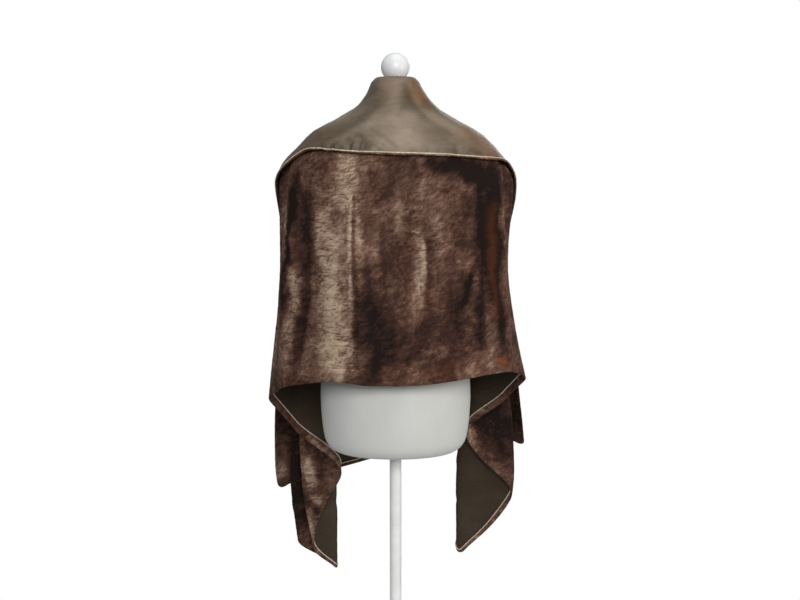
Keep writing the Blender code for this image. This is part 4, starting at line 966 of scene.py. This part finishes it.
def stand_paint(name, colour):
    dye = Dye(name, Specular_IOR_Level=0.5, Coat_Weight=0.15, Coat_Roughness=0.25)
    place = dye.place()
    shade = dye.clouds(place, (30.0, 30.0, 30.0), 3.0)
    skin = dye.clouds(place, (420.0, 420.0, 420.0), 2.0)
    wear_and_painted_light = tuple(WORN_PAINT * c for c in colour)
    dye.feed("Base Color", dye.ramp(shade, [(0.35, wear_and_painted_light), (0.65, colour)]))
    dye.feed("Roughness", 0.32 + shade * 0.14)
    dye.bump(skin, 0.0004, 0.25)
    return dye.material


def studio_floor():
    """Pale round floor whose rim melts into the white round it."""
    dye = Dye("studio_floor", Specular_IOR_Level=0.2)
    shade = dye.clouds(dye.place(), (1.5, 1.5, 1.5), 3.0)
    dye.feed("Base Color", dye.ramp(shade, [(0.3, FLOOR_SHADE), (0.7, FLOOR_PALE)]))
    dye.feed("Roughness", 0.80 + shade * 0.10)
    reach = dye.node("ShaderNodeVectorMath", {"operation": "LENGTH"}, [dye.place()], "Value")
    dye.feed("Alpha", 1 - dye.spread(reach, *FLOOR_FADE))
    return dye.material


# ---------------------------------------------------------------- pieces
def add_object(name, data):
    made = bpy.data.objects.new(name, data)
    bpy.context.scene.collection.objects.link(made)
    return made


def add_piece(name, points, faces, material, node):
    """A smooth piece that rides on the one body and stands in for a node of the CAD model."""
    mesh = bpy.data.meshes.new(name)
    mesh.from_pydata(np.asarray(points).reshape(-1, 3).tolist(), [], faces)
    mesh.update()
    mesh.shade_smooth()
    mesh.materials.append(material)
    piece = add_object(name, mesh)
    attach(piece, "root")
    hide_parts(node)
    return piece


def grid_faces(rows, columns, flip=False):
    faces = []
    for r in range(rows - 1):
        for a in range(r * columns, (r + 1) * columns - 1):
            face = (a, a + 1, a + columns + 1, a + columns)
            faces.append(face[::-1] if flip else face)
    return faces


def ring_faces(count, sides, closed=False):
    """Faces from each ring of points to the next, and from the last to the first if closed."""
    faces = []
    for r in range(count if closed else count - 1):
        here, there = r * sides, (r + 1) % count * sides
        for k in range(sides):
            after = (k + 1) % sides
            faces.append((here + k, here + after, there + after, there + k))
    return faces


def oval(sides, half, back, front, z):
    """A level ring of points, from the middle of its back towards +X."""
    points = []
    for angle in (2 * math.pi * k / sides for k in range(sides)):
        depth = back if math.cos(angle) > 0 else front
        points.append((half * math.sin(angle), -depth * math.cos(angle), z))
    return points


def inset_steps(row):
    """Lattice steps from the rim to the seam at the hem, at the collar edge and at the ends."""
    from_middle = HALF_LENGTH * np.abs(2.0 * row / LONG_STEPS - 1.0)
    hem = np.interp(from_middle, (0.50, HALF_LENGTH), (HEM_BORDER, TIP_BORDER))
    return (hem / PANEL_WIDTH * PANEL_STEPS, COLLAR_BORDER / COLLAR_WIDTH * COLLAR_STEPS,
            TIP_BORDER / (2 * HALF_LENGTH) * LONG_STEPS)


def rim_loop(rows, columns):
    """Row and column numbers round the rim of a lattice, once round."""
    r = np.arange(rows + 1.0)
    c = np.arange(columns + 1.0)
    row = np.concatenate([r[:-1], np.full(columns, float(rows)), r[:0:-1], np.zeros(columns)])
    column = np.concatenate([np.zeros(rows), c[:-1], np.full(rows, float(columns)), c[:0:-1]])
    return row, column


def turned_corners(row, column):
    """Move places near the four corners of the lattice in, so that each corner is round."""
    reach = CORNER_TURN / (2 * HALF_LENGTH) * LONG_STEPS, CORNER_TURN / PANEL_WIDTH * PANEL_STEPS
    ends = np.minimum(row, LONG_STEPS - row), np.minimum(column, LAST_COLUMN - column)
    a, b = (np.clip(1.0 - end / size, 0.0, 1.0) for end, size in zip(ends, reach))
    kept = 1.0 - np.maximum(a, b) / np.maximum(np.hypot(a, b), 1e-9)
    return (row + np.where(row < LONG_STEPS / 2, 1, -1) * a * kept * reach[0],
            column + np.where(column < LAST_COLUMN / 2, 1, -1) * b * kept * reach[1])


def squeezed(row, column, share):
    """Move rim places in towards the seam by this share of the border."""
    low, high, end = (share * s for s in inset_steps(row))
    return (end + row * (1 - 2 * end / LONG_STEPS), low + column * (1 - (low + high) / LAST_COLUMN))


def every_place():
    """Row and column numbers of the whole lattice."""
    return np.meshgrid(np.arange(LONG_STEPS + 1.0), np.arange(LAST_COLUMN + 1.0), indexing="ij")


def velvet_face(drape, material):
    """The velvet, with its border turned over the rim to the seam on the satin side."""
    row, column = every_place()
    rows, columns = row.shape
    points = [drape.at(row, column, -NAP_SIDE).reshape(-1, 3)]
    faces = grid_faces(rows, columns, flip=True)
    places = [(row.ravel(), column.ravel())]
    rim_row, rim_column = rim_loop(LONG_STEPS, LAST_COLUMN)
    loop = (rim_row * columns + rim_column).astype(int)
    outward = past_the_rim(drape, rim_row, rim_column)
    for share, off in BORDER_PROFILE:
        r, c = squeezed(rim_row, rim_column, max(share, 0.0))
        ring = drape.at(r, c, off)
        if share < 0:
            ring = ring - outward * share * HEM_BORDER
        fresh = np.arange(len(ring)) + sum(len(p) for p in points)
        points.append(ring)
        places.append((r, c))
        after = np.roll(np.arange(len(ring)), -1)
        faces += [(int(loop[a]), int(fresh[a]), int(fresh[b]), int(loop[b])) for a, b in enumerate(after)]
        loop = fresh
    row, column = (np.concatenate([p[i] for p in places]) for i in (0, 1))
    piece = add_piece("velvet_cloth", np.vstack(points), faces, material, "velvet_face")
    drape.lay_painted_light(piece, row, column)
    return piece


def past_the_rim(drape, row, column):
    """Unit vectors along the cloth, out past its rim."""
    inner_row = row + (LONG_STEPS / 2 - row) * 0.01 * (np.minimum(row, LONG_STEPS - row) < 1)
    inner_column = column + ((column < 1) * 1.0 - (column > LAST_COLUMN - 1) * 1.0)
    way = drape.at(row, column, 0.0) - drape.at(inner_row, inner_column, 0.0)
    return way / np.maximum(np.linalg.norm(way, axis=1, keepdims=True), 1e-9)


def satin_lining(drape, material):
    """The satin, from seam to seam, with its edge pressed into them."""
    row, column = squeezed(*every_place(), 1.0)
    off = np.full(row.shape, SATIN_SIDE)
    off[0] = off[-1] = off[:, 0] = off[:, -1] = SATIN_RIM
    piece = add_piece("satin_cloth", drape.at(row, column, off), grid_faces(*row.shape), material,
                      "satin_lining")
    drape.lay_painted_light(piece, row.ravel(), column.ravel())
    return piece


def edge_piping(drape, material):
    """A round cord in its strip of satin, laid along the seam with small turned corners."""
    row, column = squeezed(*rim_loop(LONG_STEPS, LAST_COLUMN), 1.0)
    centres = drape.at(row, column, PIPING_RIDE)
    ahead, behind = np.roll(centres, -1, axis=0), np.roll(centres, 1, axis=0)
    centres = 0.5 * centres + 0.25 * (ahead + behind)
    along = np.roll(centres, -1, axis=0) - np.roll(centres, 1, axis=0)
    along /= np.linalg.norm(along, axis=1, keepdims=True)
    up = drape.at(row, column, 1.0) - drape.at(row, column, 0.0)
    up -= along * np.sum(up * along, axis=1, keepdims=True)
    up /= np.linalg.norm(up, axis=1, keepdims=True)
    beside = np.cross(along, up)
    angles = 2 * np.pi * np.arange(PIPING_SIDES) / PIPING_SIDES
    rings = (centres[:, None] + PIPING_RADIUS * (np.cos(angles)[None, :, None] * up[:, None]
                                                 + np.sin(angles)[None, :, None] * beside[:, None]))
    faces = ring_faces(len(centres), PIPING_SIDES, closed=True)
    return add_piece("piping_cord", rings, faces, material, "edge_piping")


def add_rings(name, rings, material, node):
    """A closed solid through rings of points, closed at both ends with a fan."""
    sides = len(rings[0])
    points = [p for ring in rings for p in ring]
    faces = ring_faces(len(rings), sides)
    for ring, flip in ((0, True), (len(rings) - 1, False)):
        points.append(np.mean(np.array(rings[ring]), axis=0))
        for k in range(sides):
            a, b = ring * sides + k, ring * sides + (k + 1) % sides
            faces.append((b, a, len(points) - 1) if flip else (a, b, len(points) - 1))
    piece = add_piece(name, points, faces, material, node)
    piece.data.set_sharp_from_angle(angle=SHARP_EDGE)


def form_torso(material):
    """The limbless torso: its own outlines up to the chest, then just inside the cloth that rests on it."""
    sizes = [Vector((r.z, r.half, r.back, r.front)) for r in TORSO]
    rings = []
    for i in range(TORSO_STEPS * (len(sizes) - 1) + 1):
        z, half, back, front = through(sizes, i / TORSO_STEPS)
        rings.append(oval(TORSO_SIDES, half, back, front, FORM_LIFT + z))
    numbers = np.linspace(0, len(SEATED_HEIGHTS) - 1, SEATED_RINGS)
    for z in np.interp(numbers, range(len(SEATED_HEIGHTS)), SEATED_HEIGHTS).tolist():
        ring = []
        for k in range(TORSO_SIDES):
            turn = 360.0 * k / TORSO_SIDES
            x, y = ring_point(min(turn, 360 - turn), z, -SEATED_INSET)
            ring.append((x if turn <= 180 else -x, y, FORM_LIFT + z))
        rings.append(ring)
    add_rings("torso_body", rings, material, "form_torso")


def turned(name, profile, material, node):
    """A turned piece; profile is (radius, height) up its outside, already rounded."""
    rings = [oval(ROUND_SIDES, radius, radius, radius, z) for radius, z in profile]
    add_rings(name, rings, material, node)


def rounded(profile, radius, steps=5):
    """The same profile with each inner corner turned by a small curve."""
    result = [profile[0]]
    for before, corner, after in zip(profile, profile[1:], profile[2:]):
        a, b, c = Vector(before), Vector(corner), Vector(after)
        reach = min(radius, (a - b).length / 2.2, (c - b).length / 2.2)
        start, end = b + (a - b).normalized() * reach, b + (c - b).normalized() * reach
        for k in range(steps + 1):
            t = k / steps
            result.append(tuple(start * (1 - t) ** 2 + b * 2 * t * (1 - t) + end * t * t))
    return result + [profile[-1]]


def stand_pieces():
    ball_paint = stand_paint("ball_paint", BALL_WHITE)
    paint = stand_paint("stand_paint", STAND_WHITE)
    lowest = math.acos(BALL_FLAT / BALL_RADIUS)
    angles = [lowest + (math.pi - 2 * lowest) * k / BALL_RINGS for k in range(BALL_RINGS + 1)]
    centre = FORM_LIFT + BALL_CENTRE
    ball = [(BALL_RADIUS * math.sin(a), centre - BALL_RADIUS * math.cos(a)) for a in angles]
    turned("ball_finial", ball, ball_paint, "neck_ball")
    cap = rounded([(r, z + FORM_LIFT) for r, z in CAP_PROFILE], CAP_ROUNDING)
    turned("cap_plate", cap, paint, "neck_cap")
    turned("pole_tube", POLE_PROFILE, paint, "stand_pole")
    turned("base_plate", rounded(BASE_PROFILE, BASE_ROUNDING), paint, "stand_base")


# ---------------------------------------------------------------- studio
def add_floor():
    points = [(0.0, 0.0, 0.0)]
    for radius in FLOOR_RINGS:
        for angle in (2 * math.pi * k / FLOOR_SIDES for k in range(FLOOR_SIDES)):
            points.append((radius * math.cos(angle), radius * math.sin(angle), 0.0))
    faces = []
    for k in range(FLOOR_SIDES):
        m = (k + 1) % FLOOR_SIDES
        faces.append((0, 1 + k, 1 + m))
        for r in range(len(FLOOR_RINGS) - 1):
            a, b = 1 + r * FLOOR_SIDES, 1 + (r + 1) * FLOOR_SIDES
            faces.append((a + k, b + k, b + m, a + m))
    mesh = bpy.data.meshes.new("floor")
    mesh.from_pydata(points, [], faces)
    mesh.materials.append(studio_floor())
    add_object("floor", mesh)


def add_light(name, place, size, power, colour):
    data = bpy.data.lights.new(name, "AREA")
    data.shape = "RECTANGLE"
    data.size, data.size_y = size
    data.energy, data.color = power, colour
    light = add_object(name, data)
    light.location = place
    light.rotation_mode = "QUATERNION"
    light.rotation_quaternion = (Vector(LIGHTS_AIM) - Vector(place)).to_track_quat("-Z", "Y")


def set_world():
    """Plain white behind the object, and a soft sky that is brighter overhead as its light."""
    world = bpy.data.worlds.new("studio")
    world.use_nodes = True
    bpy.context.scene.world = world
    world.node_tree.nodes.clear()
    sky = Recipe(world.node_tree)
    way = sky.node("ShaderNodeTexCoord", {}, {}, "Generated")
    height = sky.node("ShaderNodeSeparateXYZ", {}, [way], "Z")
    overhead = sky.node("ShaderNodeMapRange", {}, {"Value": height, "From Min": -1.0})
    glow = {"Color": sky.ramp(overhead, SKY_STOPS), "Strength": SKY_STRENGTH}
    soft = sky.node("ShaderNodeBackground", {}, glow)
    plain = sky.node("ShaderNodeBackground", {}, {"Color": (1.0, 1.0, 1.0, 1.0)})
    seen = sky.node("ShaderNodeLightPath", {}, {}, "Is Camera Ray")
    sky.node("ShaderNodeOutputWorld", {}, [sky.node("ShaderNodeMixShader", {}, [seen, soft, plain])])


def add_studio():
    add_floor()
    set_world()
    for name, (place, size, power, colour) in LIGHTS.items():
        add_light(name, place, size, power, colour)
    bpy.context.scene.view_settings.view_transform = "Standard"
    bpy.context.scene.view_settings.look = "None"


def add_camera():
    data = bpy.data.cameras.new("camera")
    data.lens, data.sensor_width = CAMERA_LENS, CAMERA_SENSOR
    camera = add_object("camera", data)
    away = Vector((0.0, -CAMERA_DISTANCE * math.cos(CAMERA_TILT), CAMERA_DISTANCE * math.sin(CAMERA_TILT)))
    camera.location = Vector(CAMERA_AIM) + away
    camera.rotation_euler = (math.pi / 2 - CAMERA_TILT, 0.0, 0.0)
    bpy.context.scene.camera = camera


add_camera()
add_studio()
form_torso(form_jersey())
stand_pieces()
drape = Drape()
piping = edge_piping(drape, piping_satin())
satin = satin_lining(drape, olive_satin())
velvet = velvet_face(drape, crushed_velvet())
